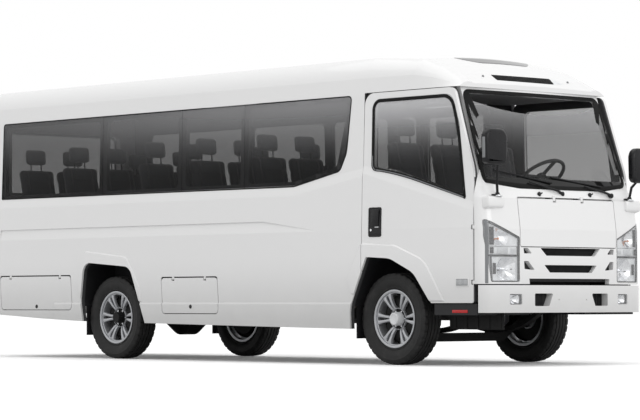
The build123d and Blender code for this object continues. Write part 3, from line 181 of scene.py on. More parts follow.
# The sides lean in, so the line between skin and lining does too: its place at the
# window foot, how fast it leans, and its places under and over the windows. The arches
# are thicker, so it moves out there, and the arch lips and the edges of hatches and
# doors below it are darkened too: a painted shade on edges that are white.
LINING_FOOT, LINING_LEAN, LINING_LOW, LINING_HIGH = 0.0345, 0.0233, 0.026, 0.800
LINING_PIVOT, LINING_AND_SHADOW_TONE, LINING_ROUGHNESS = 1.4, (0.045, 0.045, 0.047), 0.7
BAND_FOOT, BAND_HEAD = 1.375, 2.045
ARCH_HEAD, ARCH_SHADE_DEPTH = 1.02, 0.026


def paint(name, shade, roughness, lined_and_shaded=False, inward=0.0):
    """Painted panels. A lined one is dark inside, where its trim would be, and on its edges as
    painted shade.
    """
    made = Finish(name)
    # painted shade: greyer towards the bottom, a little unevenly
    low_shade = 1 - made.z.between(LOW_SHADE_FOOT, LOW_SHADE_TOP)
    low_shade_mask = (made.noise(6.0, 4.0) * 0.3 + 0.85) * low_shade
    unshaded, painted_shade_colour = (shade, shade, shade), tuple(shade * share for share in LOW_SHADE_SHARES)
    outside = low_shade_mask.blend(unshaded, painted_shade_colour)
    gloss = made.noise(40.0) * 0.06 + roughness
    coat = 1.0
    if lined_and_shaded:
        band = made.z.sum("GREATER_THAN", made.z, BAND_FOOT) * made.z.sum(
            "LESS_THAN", made.z, BAND_HEAD)
        low = made.z.sum("LESS_THAN", made.z, BAND_FOOT)
        # Painted shade: below the arch head the dark line moves out over arch lips and panel edges.
        arch_shade_offset = made.z.sum("LESS_THAN", made.z, ARCH_HEAD) * ARCH_SHADE_DEPTH
        leaning = LINING_FOOT - (made.z - LINING_PIVOT) * LINING_LEAN
        line = band * leaning + low * LINING_LOW + arch_shade_offset
        line = line + LINING_HIGH - band * inward
        half = made.y.sum("ABSOLUTE", made.y, 0.0)
        skin = half.sum("GREATER_THAN", half, line)
        outside = skin.blend(LINING_AND_SHADOW_TONE, outside)
        gloss = gloss * skin + (1 - skin) * LINING_ROUGHNESS
        coat = skin
    made.set(Base_Color=outside, Roughness=gloss, Coat_Weight=coat, Coat_Roughness=0.04)
    return made.bumps(made.noise(160.0), 0.03, 0.001).material


body_white = paint("body_white", 0.80, 0.30)
lined_shaded_white = paint("lined_shaded_white", 0.80, 0.30, True)
door_lined_shaded_white = paint("door_lined_shaded_white", 0.80, 0.30, True, 0.022)

# Where the painted reflection on the glass starts and is full, up the pane and along it.
GLASS_FOOT, GLASS_HEAD = 1.34, 2.06
GLASS_REAR, GLASS_FRONT = -3.0, 1.6
SCREEN_FOOT, SCREEN_HALF, SCREEN_LEAN = 1.338, 0.762, 0.061
PRINT_LOW, PRINT_HIGH, PRINT_FADE = 1.372, 1.382, 0.004


def tinted(name, low, high, clear_low, clear_high, shine, rear=1.0):
    """Dark glass, paler and less clear towards its top edge and more so towards the front: a painted
    reflection.
    """
    made = Finish(name)
    # painted reflection: the tint pales and clouds towards the top and the front
    rise = made.z.between(GLASS_FOOT, GLASS_HEAD)
    painted_reflection = rise * rise
    ahead = made.x.between(GLASS_REAR, GLASS_FRONT) * (1.0 - rear) + rear
    shade = (painted_reflection * ahead).blend((low, low, low), (high, high, high * 1.02))
    made.set(Base_Color=shade, Alpha=painted_reflection * (clear_high - clear_low) + clear_low,
             Roughness=made.noise(3.0) * 0.02 + 0.03, IOR=1.5, Specular_IOR_Level=shine)
    return made


def screen_tint():
    """The windscreen: paler towards its head as a painted reflection, with a black printed foot and
    rim.
    """
    made = tinted("screen_glass", 0.05, 0.42, 0.16, 0.62, 0.35)
    half = made.y.sum("ABSOLUTE", made.y, 0.0)
    edge = SCREEN_HALF - (made.z - SCREEN_FOOT) * SCREEN_LEAN
    rim = half.between(edge - PRINT_FADE, edge)
    foot = 1 - made.z.between(PRINT_LOW, PRINT_HIGH)
    print_mask = rim.sum("MAXIMUM", rim, foot)
    shader = made.shader.inputs
    clear = Tap(made.tree, shader["Alpha"].links[0].from_socket)
    shade = Tap(made.tree, shader["Base Color"].links[0].from_socket)
    return made.set(Alpha=clear.sum("MAXIMUM", clear, print_mask),
                    Base_Color=print_mask.blend(shade, (0.008, 0.008, 0.008))).material


side_glass = tinted("side_glass", 0.004, 0.42, 0.42, 0.56, 0.15, 0.40).material
door_glass = tinted("door_glass", 0.006, 0.95, 0.42, 0.50, 0.2).material
screen_glass = screen_tint()


def moulded(name, shade, roughness, grain, depth, shine=0.5):
    """Black or grey plastic and rubber with a fine grain."""
    made = Finish(name)
    speck = made.noise(grain, 3.0, 0.6)
    light = tuple(channel * 1.5 for channel in shade)
    made.set(Base_Color=speck.blend(shade, light), Roughness=speck * 0.2 + roughness,
             Specular_IOR_Level=shine)
    return made.bumps(speck, depth, 0.001).material


black_moulding = moulded("black_moulding", (0.010, 0.010, 0.011), 0.40, 500.0, 0.25, 0.35)
seal_rubber = moulded("seal_rubber", (0.005, 0.005, 0.005), 0.5, 300.0, 0.1, 0.15)
chassis_black = moulded("chassis_black", (0.008, 0.008, 0.008), 0.55, 90.0, 0.3, 0.25)
dash_grain = moulded("dash_grain", (0.03, 0.03, 0.032), 0.55, 700.0, 0.3)
mat_rubber = moulded("mat_rubber", (0.05, 0.05, 0.052), 0.7, 200.0, 0.3)
satin_grey = moulded("satin_grey", (0.58, 0.59, 0.60), 0.25, 30.0, 0.05)


def metal(name, shade, roughness, ripple, metallic=1.0):
    made = Finish(name)
    brushed = made.noise(ripple, 2.0)
    dark = tuple(channel * 0.8 for channel in shade)
    made.set(Base_Color=brushed.blend(dark, shade), Metallic=metallic,
             Roughness=brushed * 0.15 + roughness)
    return made.material


alloy = metal("alloy", (0.52, 0.53, 0.55), 0.26, 120.0, 0.6)
chrome = metal("chrome", (0.85, 0.86, 0.88), 0.05, 20.0)
exhaust_steel = metal("exhaust_steel", (0.22, 0.20, 0.18), 0.5, 25.0)


def lens(name, shade, clear, roughness=0.03):
    made = Finish(name)
    flute = made.noise(60.0)
    pale = tuple(min(1.0, channel * 1.15) for channel in shade)
    made.set(Base_Color=flute.blend(shade, pale), Alpha=clear, Roughness=flute * 0.04 + roughness)
    return made.material


clear_lens = lens("clear_lens", (0.80, 0.82, 0.84), 0.22)
red_lens = lens("red_lens", (0.42, 0.01, 0.01), 1.0, 0.12)
amber_lens = lens("amber_lens", (0.75, 0.20, 0.02), 1.0, 0.12)


def tyre_black():
    made = Finish("tyre_black")
    fine = made.noise(180.0, 4.0)
    dusty = made.noise(9.0, 3.0).between(0.45, 0.8)
    made.set(Base_Color=dusty.blend((0.006, 0.006, 0.006), (0.022, 0.021, 0.021)),
             Roughness=fine * 0.2 + 0.55)
    return made.bumps(fine, 0.25, 0.001).material


def seat_weave():
    made = Finish("seat_weave")
    threads = made.place.node("TexWave", {"wave_type": "BANDS", "bands_direction": "Z"},
                              Vector=made.place, Scale=260.0, Distortion=1.0)
    across = made.place.node("TexWave", {"wave_type": "BANDS", "bands_direction": "Y"},
                             Vector=made.place, Scale=260.0, Distortion=1.0)
    cloth = threads * 0.5 + across * 0.5
    made.set(Base_Color=cloth.blend((0.035, 0.036, 0.040), (0.075, 0.077, 0.083)),
             Roughness=cloth * 0.1 + 0.8, Sheen_Weight=0.4)
    return made.bumps(cloth, 0.4, 0.001).material


tyre_rubber = tyre_black()
seat_cloth = seat_weave()

# %% [markdown]
# Every node of the frame gets the finish of what it is made of.

# %% Finishes on the frame's own nodes
painted = ("roof_panel", "roof_front_cap", "rear_wall", "cab_front", "front_lid", "grille",
           "front_bumper", "rear_bumper", "hatch_rear_right", "hatch_mid_right",
           "hatch_rear_left", "boot_lid")
lined_and_shaded = ("body_side_left", "body_side_right", "entry_door")
cab_doors = ("door_front_left", "door_front_right")
wheels = [f"{place}_{side}" for place in ("front", "rear") for side in ("left", "right")]
finishes = {
    body_white: painted,
    lined_shaded_white: lined_and_shaded,
    door_lined_shaded_white: cab_doors,
    side_glass: ("body_glass", "entry_door_glass"),
    door_glass: ("door_glass_left", "door_glass_right"),
    screen_glass: ("windscreen",),
    black_moulding: ("grille_backing", "arch_liners", "door_steps", "mirrors", "wipers"),
    chassis_black: ("chassis_frame", "engine_block", "fuel_tank", "front_axle", "rear_axle",
                    "leaf_springs", "propeller_shaft", "knuckle_left", "knuckle_right",
                    "tow_eyes"),
    exhaust_steel: ("exhaust",),
    clear_lens: ("front_lamps",),
    red_lens: ("tail_lamps",),
    mat_rubber: ("floor",),
    seat_cloth: ("seats",),
    dash_grain: ("dashboard", "steering_wheel"),
    alloy: [f"rim_{wheel}" for wheel in wheels],
    tyre_rubber: [f"tyre_{wheel}" for wheel in wheels],
}
for material, names in finishes.items():
    for name in names:
        mesh = nodes[name].data
        mesh.materials.clear()
        mesh.materials.append(material)
bare = [name for name in nodes if not any(name in names for names in finishes.values())]
print("nodes with no finish:", bare)

# %% [markdown]
# The studio is a pale floor under a white sky. Light Path nodes keep the white that
# the camera, glossy and see-through rays meet apart from the light that falls on the
# vehicle, so the background stays white and the paint keeps its own shade.

# %% Floor, sky and lamps
FLOOR_HALF, FLOOR_BOUNCE, FLOOR_SEEN, FLOOR_GLOW = 60.0, 0.60, 1.05, 0.10
SKY_LIGHT = 0.95


def light_path(tree):
    return tree.nodes.new("ShaderNodeLightPath").outputs


def studio_floor():
    shape = bmesh.new()
    bmesh.ops.create_grid(shape, x_segments=1, y_segments=1, size=FLOOR_HALF)
    mesh = bpy.data.meshes.new("studio_floor")
    shape.to_mesh(mesh)
    shape.free()
    floor = bpy.data.objects.new("studio_floor", mesh)
    bpy.context.scene.collection.objects.link(floor)
    material = bpy.data.materials.new("studio_floor")
    material.use_nodes = True
    tree = material.node_tree
    tree.nodes.clear()
    ways = light_path(tree)
    seen = Tap(tree, ways["Is Camera Ray"])
    shade = seen.blend((FLOOR_BOUNCE,) * 3, (FLOOR_SEEN,) * 3)
    pale = seen.node("BsdfDiffuse", Color=shade)
    glow = seen.node("Emission", Color=(1.0, 1.0, 1.0), Strength=seen * FLOOR_GLOW)
    both = seen.node("AddShader", i0=pale, i1=glow)
    end = tree.nodes.new("ShaderNodeOutputMaterial")
    tree.links.new(both.socket, end.inputs["Surface"])
    mesh.materials.append(material)


def studio_sky():
    world = bpy.data.worlds.new("studio_sky")
    world.use_nodes = True
    tree = world.node_tree
    ways = light_path(tree)
    shown = Tap(tree, ways["Is Camera Ray"]) + Tap(tree, ways["Is Glossy Ray"])
    shown = shown + Tap(tree, ways["Is Transmission Ray"])
    shown = shown.sum("MINIMUM", shown, 1.0)
    strength = shown * (1.0 - SKY_LIGHT) + SKY_LIGHT
    plug(tree, tree.nodes["Background"].inputs["Strength"], strength)
    plug(tree, tree.nodes["Background"].inputs["Color"], (1.0, 1.0, 1.0))
    bpy.context.scene.world = world


def soft_lamp(name, place, aim, size, power):
    data = bpy.data.lights.new(name, "AREA")
    data.shape = "RECTANGLE"
    data.size, data.size_y = size
    data.energy = power
    lamp = bpy.data.objects.new(name, data)
    bpy.context.scene.collection.objects.link(lamp)
    lamp.location = place
    lamp.rotation_euler = (Vector(aim) - Vector(place)).to_track_quat("-Z", "Y").to_euler()


studio_floor()
studio_sky()
soft_lamp("over", (0.0, -1.0, 9.0), (0.0, 0.0, 1.0), (12.0, 6.0), 105.0)
soft_lamp("front", (12.0, -2.0, 5.0), (2.0, 0.0, 1.2), (6.0, 5.0), 225.0)
print("studio ready")

# %% [markdown]
# The new pieces are shaped with mesh operators and then set down on the panels. One
# helper turns a shape into a piece that rides on its body; another drops a drawn
# outline straight onto the frame's surface, so a seal lies where its panel really is.

# %% Helpers for new pieces
SMOOTH_ANGLE = math.radians(35)
ALONG_Y, ALONG_X, ALONG_Z = Vector((0, 1, 0)), Vector((1, 0, 0)), Vector((0, 0, 1))
BEVEL = {"affect": "EDGES", "profile": 0.5, "material": -1}
# how deep plates and seals are sunk in their panels, and where drops start, clear of them
SUNK, SEAL_SUNK = 0.0004, 0.0005
SEAL_ROUND = 0.4
BESIDE, AHEAD, BEHIND, ABOVE, SCREEN_START = 1.2, 3.5, -3.6, 3.0, 3.2


def piece(name, shape, material, body="body", flat=False):
    """Make a shape into a piece, smooth but for its sharp edges, riding on a body."""
    mesh = bpy.data.meshes.new(name)
    shape.to_mesh(mesh)
    shape.free()
    made = bpy.data.objects.new(name, mesh)
    bpy.context.scene.collection.objects.link(made)
    mesh.materials.append(material)
    if not flat:
        mesh.shade_smooth()
        mesh.set_sharp_from_angle(angle=SMOOTH_ANGLE)
    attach(made, body)
    return made


def close_up(shape):
    bmesh.ops.remove_doubles(shape, verts=shape.verts, dist=0.00002)
    bmesh.ops.recalc_face_normals(shape, faces=shape.faces)
    return shape


def add_block(shape, low, high, rounding=0.0, segments=3, turn=None):
    """Add a box between two corners, its edges rounded, turned about its middle."""
    low, high = Vector(low), Vector(high)
    low, high = Vector(map(min, low, high)), Vector(map(max, low, high))
    made = bmesh.ops.create_cube(shape, size=1.0)["verts"]
    bmesh.ops.scale(shape, vec=high - low, verts=made)
    if rounding:
        edges = list({edge for vert in made for edge in vert.link_edges})
        rounded = bmesh.ops.bevel(shape, geom=edges, offset=rounding, segments=segments, **BEVEL)
        made = rounded["verts"]
    if turn:
        bmesh.ops.rotate(shape, cent=(0, 0, 0), matrix=turn, verts=made)
    bmesh.ops.translate(shape, vec=(low + high) / 2, verts=made)
    return made


def add_rod(shape, start, end, radius, far_radius=None, sides=16):
    """Add a round or tapered bar between two points."""
    start, end = Vector(start), Vector(end)
    axis = end - start
    made = bmesh.ops.create_cone(
        shape, cap_ends=True, segments=sides, radius1=radius,
        radius2=radius if far_radius is None else far_radius, depth=axis.length)["verts"]
    turn = axis.to_track_quat("Z", "Y").to_matrix()
    bmesh.ops.rotate(shape, cent=(0, 0, 0), matrix=turn, verts=made)
    bmesh.ops.translate(shape, vec=(start + end) / 2, verts=made)


def add_ball(shape, at, radius, squash=(1, 1, 1), sides=24, rings=14):
    """Add a ball about a point, flattened or stretched along its axes."""
    matrix = Matrix.Translation(at) @ Matrix.Diagonal((*squash, 1))
    bmesh.ops.create_uvsphere(shape, u_segments=sides, v_segments=rings, radius=radius,
                              matrix=matrix)


def blocks(*rows):
    """One shape of several boxes. Each row says what add_block needs."""
    shape = bmesh.new()
    for row in rows:
        add_block(shape, *row)
    return shape


def cut(shape, at, way, near=0.0001, **keep):
    """Cut a whole shape by a plane through a point, square to a way."""
    geom = shape.verts[:] + shape.edges[:] + shape.faces[:]
    bmesh.ops.bisect_plane(shape, geom=geom, dist=near, plane_co=at, plane_no=way, **keep)


def pushed(shape, faces, move):
    """Extrude faces by a move. Returns the edges round the faces that moved."""
    made = bmesh.ops.extrude_face_region(shape, geom=faces)["geom"]
    verts = [part for part in made if isinstance(part, bmesh.types.BMVert)]
    bmesh.ops.translate(shape, vec=move, verts=verts)
    top = {part for part in made if isinstance(part, bmesh.types.BMFace)}
    return [edge for edge in shape.edges if sum(part in top for part in edge.link_faces) == 1]


def surface(*names):
    """The frame's panels as one thing to drop points onto."""
    joined = bmesh.new()
    for name in names:
        joined.from_mesh(nodes[name].data)
    tree = BVHTree.FromBMesh(joined)
    joined.free()
    return tree


def outline_face(shape, points, radii, plane):
    """One flat face from a few corners, in the 'xz', 'yz' or 'xy' plane, each rounded."""
    first, second = ("xyz".index(axis) for axis in plane)
    if not isinstance(radii, tuple):
        radii = (radii,) * len(points)
    corners = []
    for a, b in points:
        place = Vector()
        place[first], place[second] = a, b
        corners.append(shape.verts.new(place))
    shape.faces.new(corners)
    for corner, radius in zip(corners, radii):
        if radius:
            bmesh.ops.bevel(shape, geom=[corner], offset=radius, offset_type="OFFSET",
                            segments=8, profile=0.5, affect="VERTICES", material=-1)
    return shape.faces[:][0]


def drop(shape, tree, start, way, lift=0.0):
    """Move every vertex along a way from a start plane until it lies on the surface."""
    axis = max(range(3), key=lambda place: abs(way[place]))
    lost = 0
    for vert in shape.verts:
        origin = vert.co.copy()
        origin[axis] = start
        hit, normal, _, _ = tree.ray_cast(origin, way)
        if hit is None:
            lost += 1
            hit, normal, _, _ = tree.find_nearest(origin)
        if normal.dot(way) > 0:
            normal = -normal
        vert.co = hit + normal * lift
    if lost:
        print("  points that missed the surface:", lost)


def thickened(name, shape, way, rise, rounding, material, body):
    """Thicken a sheet that lies on a panel, away from it, and round its upper rim."""
    sheet = shape.faces[:]
    sheet[0].normal_update()
    if sheet[0].normal.dot(way) > 0:
        bmesh.ops.reverse_faces(shape, faces=sheet)
    rim = pushed(shape, sheet, -way * rise)
    bmesh.ops.bevel(shape, geom=rim, offset=rounding, segments=2, **BEVEL)
    bmesh.ops.recalc_face_normals(shape, faces=shape.faces)
    return piece(name, shape, material, body)


def seal(name, points, radii, plane, width, rise, tree, start, way, body="body", step=0.03,
         material=seal_rubber):
    """A rubber ring: an outline, inset by its width, laid on a surface and thickened."""
    shape = bmesh.new()
    outline_face(shape, points, radii, plane)
    edges = [e for e in shape.edges if e.calc_length() > step * 1.5]
    while edges:
        bmesh.ops.subdivide_edges(shape, edges=edges, cuts=1)
        edges = [e for e in shape.edges if e.calc_length() > step * 1.5]
    shape.normal_update()
    bmesh.ops.inset_individual(shape, faces=shape.faces[:], thickness=width,
                               use_even_offset=True)
    middle = max(shape.faces, key=lambda part: part.calc_area())
    bmesh.ops.delete(shape, geom=[middle], context="FACES_ONLY")
    drop(shape, tree, start, way, -SEAL_SUNK)
    return thickened(name, shape, way, rise, min(rise, width) * SEAL_ROUND, material, body)


# %% [markdown]
# The ladder frame's front stays end behind the bumper. The drawing's stays reach a
# finger's width past the bumper's face, so this copy of the frame is cut off there.

# %% Ladder frame
STAY_END, WELD = 3.024, 0.00001
shape = bmesh.new()
shape.from_mesh(nodes["chassis_frame"].data)
bmesh.ops.remove_doubles(shape, verts=shape.verts, dist=WELD)
cut(shape, (STAY_END, 0, 0), ALONG_X, clear_outer=True)
bmesh.ops.holes_fill(shape, edges=[edge for edge in shape.edges if edge.is_boundary])
bmesh.ops.recalc_face_normals(shape, faces=shape.faces)
ladder = piece("ladder_frame", shape, chassis_black, flat=True)
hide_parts("chassis_frame")
print("ladder frame cut back to", STAY_END)

# %% [markdown]
# The cab's windows are held in black rubber. The outlines repeat the ones the panels
# The outlines repeat the ones the panels
# were cut with, so each ring sits exactly on its opening. The thin bright lip that runs inside the
# door's ring, as on the real door, is made with the doors' other details.

# %% Window seals
FRONT_AXLE, REAR_AXLE = 2.010, -1.340
SIDES = (("right", -1), ("left", 1))
DOOR_REAR, DOOR_LENGTH = FRONT_AXLE - 0.257, 1.171
DOOR_LOW, DOOR_HEIGHT = 0.463, 1.579
door_window_shares = ((0.073, 0.630), (0.073, 0.970), (0.790, 0.970), (0.858, 0.828),
                      (0.922, 0.478), (0.270, 0.615))
door_window_radii = (0.045, 0.080, 0.085, 0.200, 0.022, 0.250)
door_window = [(DOOR_REAR + DOOR_LENGTH * a, DOOR_LOW + DOOR_HEIGHT * b)
               for a, b in door_window_shares]


def shrunk(points, amount):
    """The same outline drawn in towards its middle."""
    middle = (sum(a for a, _ in points) / len(points), sum(b for _, b in points) / len(points))
    moved = []
    for a, b in points:
        way = Vector((a - middle[0], b - middle[1]))
        moved.append(tuple(Vector((a, b)) - way.normalized() * amount))
    return moved


door_skins = {side: surface(f"door_glass_{side}", f"door_front_{side}") for side, _ in SIDES}
for side, sign in SIDES:
    seal(f"door_seal_{side}", door_window, door_window_radii, "xz", 0.026, 0.005,
         door_skins[side], sign * BESIDE, -sign * ALONG_Y, f"door_front_{side}")

windscreen_shape = ((-0.736, 2.032), (0.736, 2.032), (0.778, 1.338), (0.450, 1.296),
                    (-0.450, 1.296), (-0.778, 1.338))
windscreen_radii = (0.062, 0.062, 0.062, 0.300, 0.300, 0.062)
screen_skin = surface("windscreen", "cab_front")
seal("windscreen_seal", windscreen_shape, windscreen_radii, "yz", 0.030, 0.005, screen_skin,
     SCREEN_START, -ALONG_X)

band = ((-4.878, 1.368), (-4.870, 2.032), (-0.400, 2.036), (-0.445, 1.600),
        (-0.520, 1.462), (-1.045, 1.360))
band_radii = (0.010, 0.030, 0.040, 0.120, 0.050, 0.050)
band_points = [(FRONT_AXLE + a, b) for a, b in band]
band_skin = surface("body_glass", "body_side_right")
seal("band_seal_right", band_points, band_radii, "xz", 0.009, 0.003, band_skin, -BESIDE,
     ALONG_Y, step=0.06)
print("window seals made")

# %% [markdown]
# The tyre's section is spun round the axle. Four grooves run round the tread, and every
# few steps a slot is pressed into both shoulders, so the blocks show against the arch.

# %% Tyres
TYRE_RADIUS, HALF_TRACK = 0.345, 0.695
TREAD_STEPS, SLOT_EVERY, SLOT_SHIFT, SLOT_DEPTH = 180, 5, 2, 0.007
TREAD_TOP, SHOULDER_FOOT = 0.3435, 0.329
GROOVE_PLACES, GROOVE_HALF, GROOVE_DEPTH = (0.016, 0.050), 0.004, 0.008
sidewall = ((0.064, 0.204), (0.068, 0.221), (0.077, 0.226), (0.079, 0.231), (0.076, 0.236),
            (0.087, 0.252), (0.0935, 0.272), (0.0955, 0.290), (0.0945, 0.305),
            (0.0955, 0.307), (0.0945, 0.309), (0.091, 0.322), (0.088, 0.330))
tread = [(0.082, 0.3395), (0.076, 0.3415)]
for place in reversed(GROOVE_PLACES):
    tread += [(place + GROOVE_HALF, TREAD_TOP),
              (place + GROOVE_HALF * 0.6, TREAD_TOP - GROOVE_DEPTH),
              (place - GROOVE_HALF * 0.6, TREAD_TOP - GROOVE_DEPTH),
              (place - GROOVE_HALF, TREAD_TOP + 0.0005)]
tread.append((0.0, 0.3445))
half_section = list(sidewall) + tread
tyre_section = half_section + [(-y, r) for y, r in reversed(half_section[:-1])]


def spun(section, steps, closed=False):
    """Turn a section of (across, radius) points about the Y axis."""
    shape = bmesh.new()
    verts = [shape.verts.new((0, y, r)) for y, r in section]
    edges = [shape.edges.new(pair) for pair in zip(verts[:-1], verts[1:])]
    if closed:
        edges.append(shape.edges.new((verts[-1], verts[0])))
    bmesh.ops.spin(shape, geom=verts + edges, cent=(0, 0, 0), axis=(0, 1, 0),
                   angle=math.tau, steps=steps, use_merge=True)
    return close_up(shape)


def make_tyre(name, place, body):
    shape = spun(tyre_section, TREAD_STEPS, closed=True)
    for vert in shape.verts:
        radius = math.hypot(vert.co.x, vert.co.z)
        across = abs(vert.co.y)
        step = round(math.atan2(vert.co.x, vert.co.z) / math.tau * TREAD_STEPS)
        if across > GROOVE_PLACES[1] + GROOVE_HALF * 0.9 and radius > SHOULDER_FOOT:
            shift = 0 if vert.co.y > 0 else SLOT_SHIFT
            if (step + shift) % SLOT_EVERY == 0:
                share = 1 - SLOT_DEPTH / radius
                vert.co.x *= share
                vert.co.z *= share
    bmesh.ops.translate(shape, vec=place, verts=shape.verts)
    made = piece(name, shape, tyre_rubber, body)
    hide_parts(name.replace("tread", "tyre"))


axles = {"front": FRONT_AXLE, "rear": REAR_AXLE}
for place, x in axles.items():
    for side, sign in SIDES:
        make_tyre(f"tread_{place}_{side}", (x, sign * HALF_TRACK, TYRE_RADIUS),
                  f"wheel_{place}_{side}")

# %% [markdown]
# The cast wheels have six pairs of spokes, drawn here as crowned bars that dip towards
# a sunken middle and flare where they meet the ring. A nut sits at the root of every
# pair. The middle differs: a cap stands in the well at the front, and the rear shows
# the end of its hub. A dark brake drum shuts the view through each wheel.

# %% Wheels
SPOKES = 6
NUT_CIRCLE, NUT_RADIUS = 0.0605, 0.0085
# columns: radius, height of the crown, half width, distance from the pair's middle line
spoke_rows = ((0.074, 0.034, 0.0105, 0.0095), (0.092, 0.048, 0.0105, 0.0120),
              (0.120, 0.057, 0.0110, 0.0165), (0.155, 0.062, 0.0125, 0.0225),
              (0.180, 0.064, 0.0165, 0.0275), (0.198, 0.063, 0.0240, 0.0290))
# columns: share of the half width, drop below the crown
spoke_section = ((-1.0, 0.026), (-1.0, 0.009), (-0.82, 0.003), (-0.4, 0.0005), (0.0, 0.0),
                 (0.4, 0.0005), (0.82, 0.003), (1.0, 0.009), (1.0, 0.026))
rim_section = ((0.0690, 0.2030), (0.0760, 0.2190), (0.0772, 0.2165), (0.0768, 0.2080),
               (0.0735, 0.2020), (0.0620, 0.1990), (0.0600, 0.1930), (0.0520, 0.1915),
               (0.0300, 0.1930), (-0.0600, 0.1900), (-0.0740, 0.2000), (-0.0760, 0.2190),
               (-0.0690, 0.2030))
well_section = ((0.030, 0.083), (0.0365, 0.082), (0.0375, 0.079), (0.0330, 0.0765),
                (0.014, 0.0745), (0.012, 0.072), (0.012, 0.044), (-0.020, 0.044),
                (-0.020, 0.083))
cap_section = ((0.000, 0.052), (0.050, 0.051), (0.077, 0.048), (0.083, 0.044), (0.085, 0.036),
               (0.082, 0.031), (0.082, 0.0005))
brake_section = ((-0.034, 0.182), (-0.004, 0.180), (0.004, 0.172), (0.006, 0.150),
                 (0.006, 0.0005))
drum_section = ((-0.010, 0.046), (0.012, 0.044), (0.020, 0.038), (0.020, 0.022),
                (0.032, 0.020), (0.034, 0.016), (0.034, 0.0005))


def absorb(shape, extra):
    """Move another shape's faces into this one."""
    mesh = bpy.data.meshes.new("extra")
    extra.to_mesh(mesh)
    extra.free()
    shape.from_mesh(mesh)
    bpy.data.meshes.remove(mesh)


def add_spoke(shape, angle, lean):
    rows = [[shape.verts.new((lean * centre + half * share, crown - drop, radius))
             for share, drop in spoke_section]
            for radius, crown, half, centre in spoke_rows]
    for low, high in zip(rows[:-1], rows[1:]):
        ring = list(range(len(spoke_section)))
        for a, b in zip(ring, ring[1:] + ring[:1]):
            shape.faces.new((low[a], low[b], high[b], high[a]))
    shape.faces.new(rows[0])
    shape.faces.new(rows[-1])
    verts = [vert for row in rows for vert in row]
    bmesh.ops.rotate(shape, cent=(0, 0, 0), matrix=Matrix.Rotation(angle, 3, "Y"), verts=verts)


def cast_rim():
    shape = spun(rim_section, 120, closed=True)
    absorb(shape, spun(well_section, 72, closed=True))
    for index in range(SPOKES):
        angle = math.tau * (index + 0.5) / SPOKES
        for lean in (-1, 1):
            add_spoke(shape, angle, lean)
    bmesh.ops.recalc_face_normals(shape, faces=shape.faces)
    return shape


def wheel_nuts():
    shape = bmesh.new()
    for index in range(SPOKES):
        angle = math.tau * (index + 0.5) / SPOKES
        x, z = NUT_CIRCLE * math.sin(angle), NUT_CIRCLE * math.cos(angle)
        add_rod(shape, (x, 0.010, z), (x, 0.030, z), NUT_RADIUS, sides=6)
        add_rod(shape, (x, 0.030, z), (x, 0.034, z), NUT_RADIUS * 0.6, sides=12)
    return shape


for place, x in axles.items():
    middle_section = cap_section if place == "front" else drum_section
    middle_finish = satin_grey if place == "front" else chassis_black
    for side, sign in SIDES:
        for label, shape, material in (("rim", cast_rim(), alloy), ("nuts", wheel_nuts(), chrome),
                                       ("hub", spun(middle_section, 48), middle_finish),
                                       ("brake", spun(brake_section, 72), chassis_black)):
            if sign < 0:
                bmesh.ops.rotate(shape, cent=(0, 0, 0), verts=shape.verts,
                                 matrix=Matrix.Rotation(math.pi, 3, "Z"))
            bmesh.ops.translate(shape, verts=shape.verts,
                                vec=(x, sign * HALF_TRACK, TYRE_RADIUS))
            made = piece(f"wheel_{label}_{place}_{side}", shape, material,
                         f"wheel_{place}_{side}")
            if label == "rim":
                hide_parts(f"rim_{place}_{side}")
print("wheels dressed")

# %% [markdown]
# A headlamp is seen through its clear cover, so the inside is built: a dark case, two
# compartments whose grey surrounds fall into faceted reflectors, bulbs, a divider, and
# rows of small ribs. Everything is drawn as a front view with depths, and then each
# point moves forward by the nose's own place there, so the lamp follows its curve.

# %% Headlamps
chrome_bowl = metal("chrome_bowl", (0.92, 0.93, 0.95), 0.16, 45.0)
marker_grey = moulded("marker_grey", (0.16, 0.165, 0.17), 0.22, 220.0, 0.15)
bulb_amber = lens("bulb_amber", (0.50, 0.17, 0.05), 1.0, 0.08)
lamp_lens = lens("lamp_lens", (0.90, 0.92, 0.94), 0.10)
nose_front = surface("front_lamps", "cab_front")
bumper_front = surface("front_lamps", "front_bumper")

CASE_DEPTH, BOWL_STEPS = 0.075, 96
lamp_outline = ((0.528, 0.615), (0.528, 0.942), (0.836, 1.074), (0.836, 0.942), (0.792, 0.615))
lower_room = ((0.546, 0.624), (0.546, 0.798), (0.782, 0.798), (0.772, 0.624))
upper_room = ((0.544, 0.874), (0.544, 0.930), (0.798, 1.038), (0.798, 0.874))


def lattice(shape, step, axes=(1, 2)):
    """Cut flat faces into small cells, so that they can follow a curve."""
    for axis in axes:
        places = [vert.co[axis] for vert in shape.verts]
        low, high = min(places), max(places)
        way = Vector(1.0 if place == axis else 0.0 for place in range(3))
        count = int((high - low) / step)
        for index in range(1, count + 1):
            cut(shape, way * (low + (high - low) * index / (count + 1)), way, 0.0005)


def follow(shape, tree, sign=1, verts=None):
    """Swap a depth for a place: move each point out to the nose in front of it."""
    for vert in verts or shape.verts:
        vert.co.y *= sign
        start = Vector((AHEAD, vert.co.y, vert.co.z))
        hit = tree.ray_cast(start, -ALONG_X)[0]
        while hit is None:
            start.y *= 0.995
            start.z += (0.8 - start.z) * 0.01
            hit = tree.ray_cast(start, -ALONG_X)[0]
        vert.co.x += hit.x
    bmesh.ops.recalc_face_normals(shape, faces=shape.faces)
    return shape


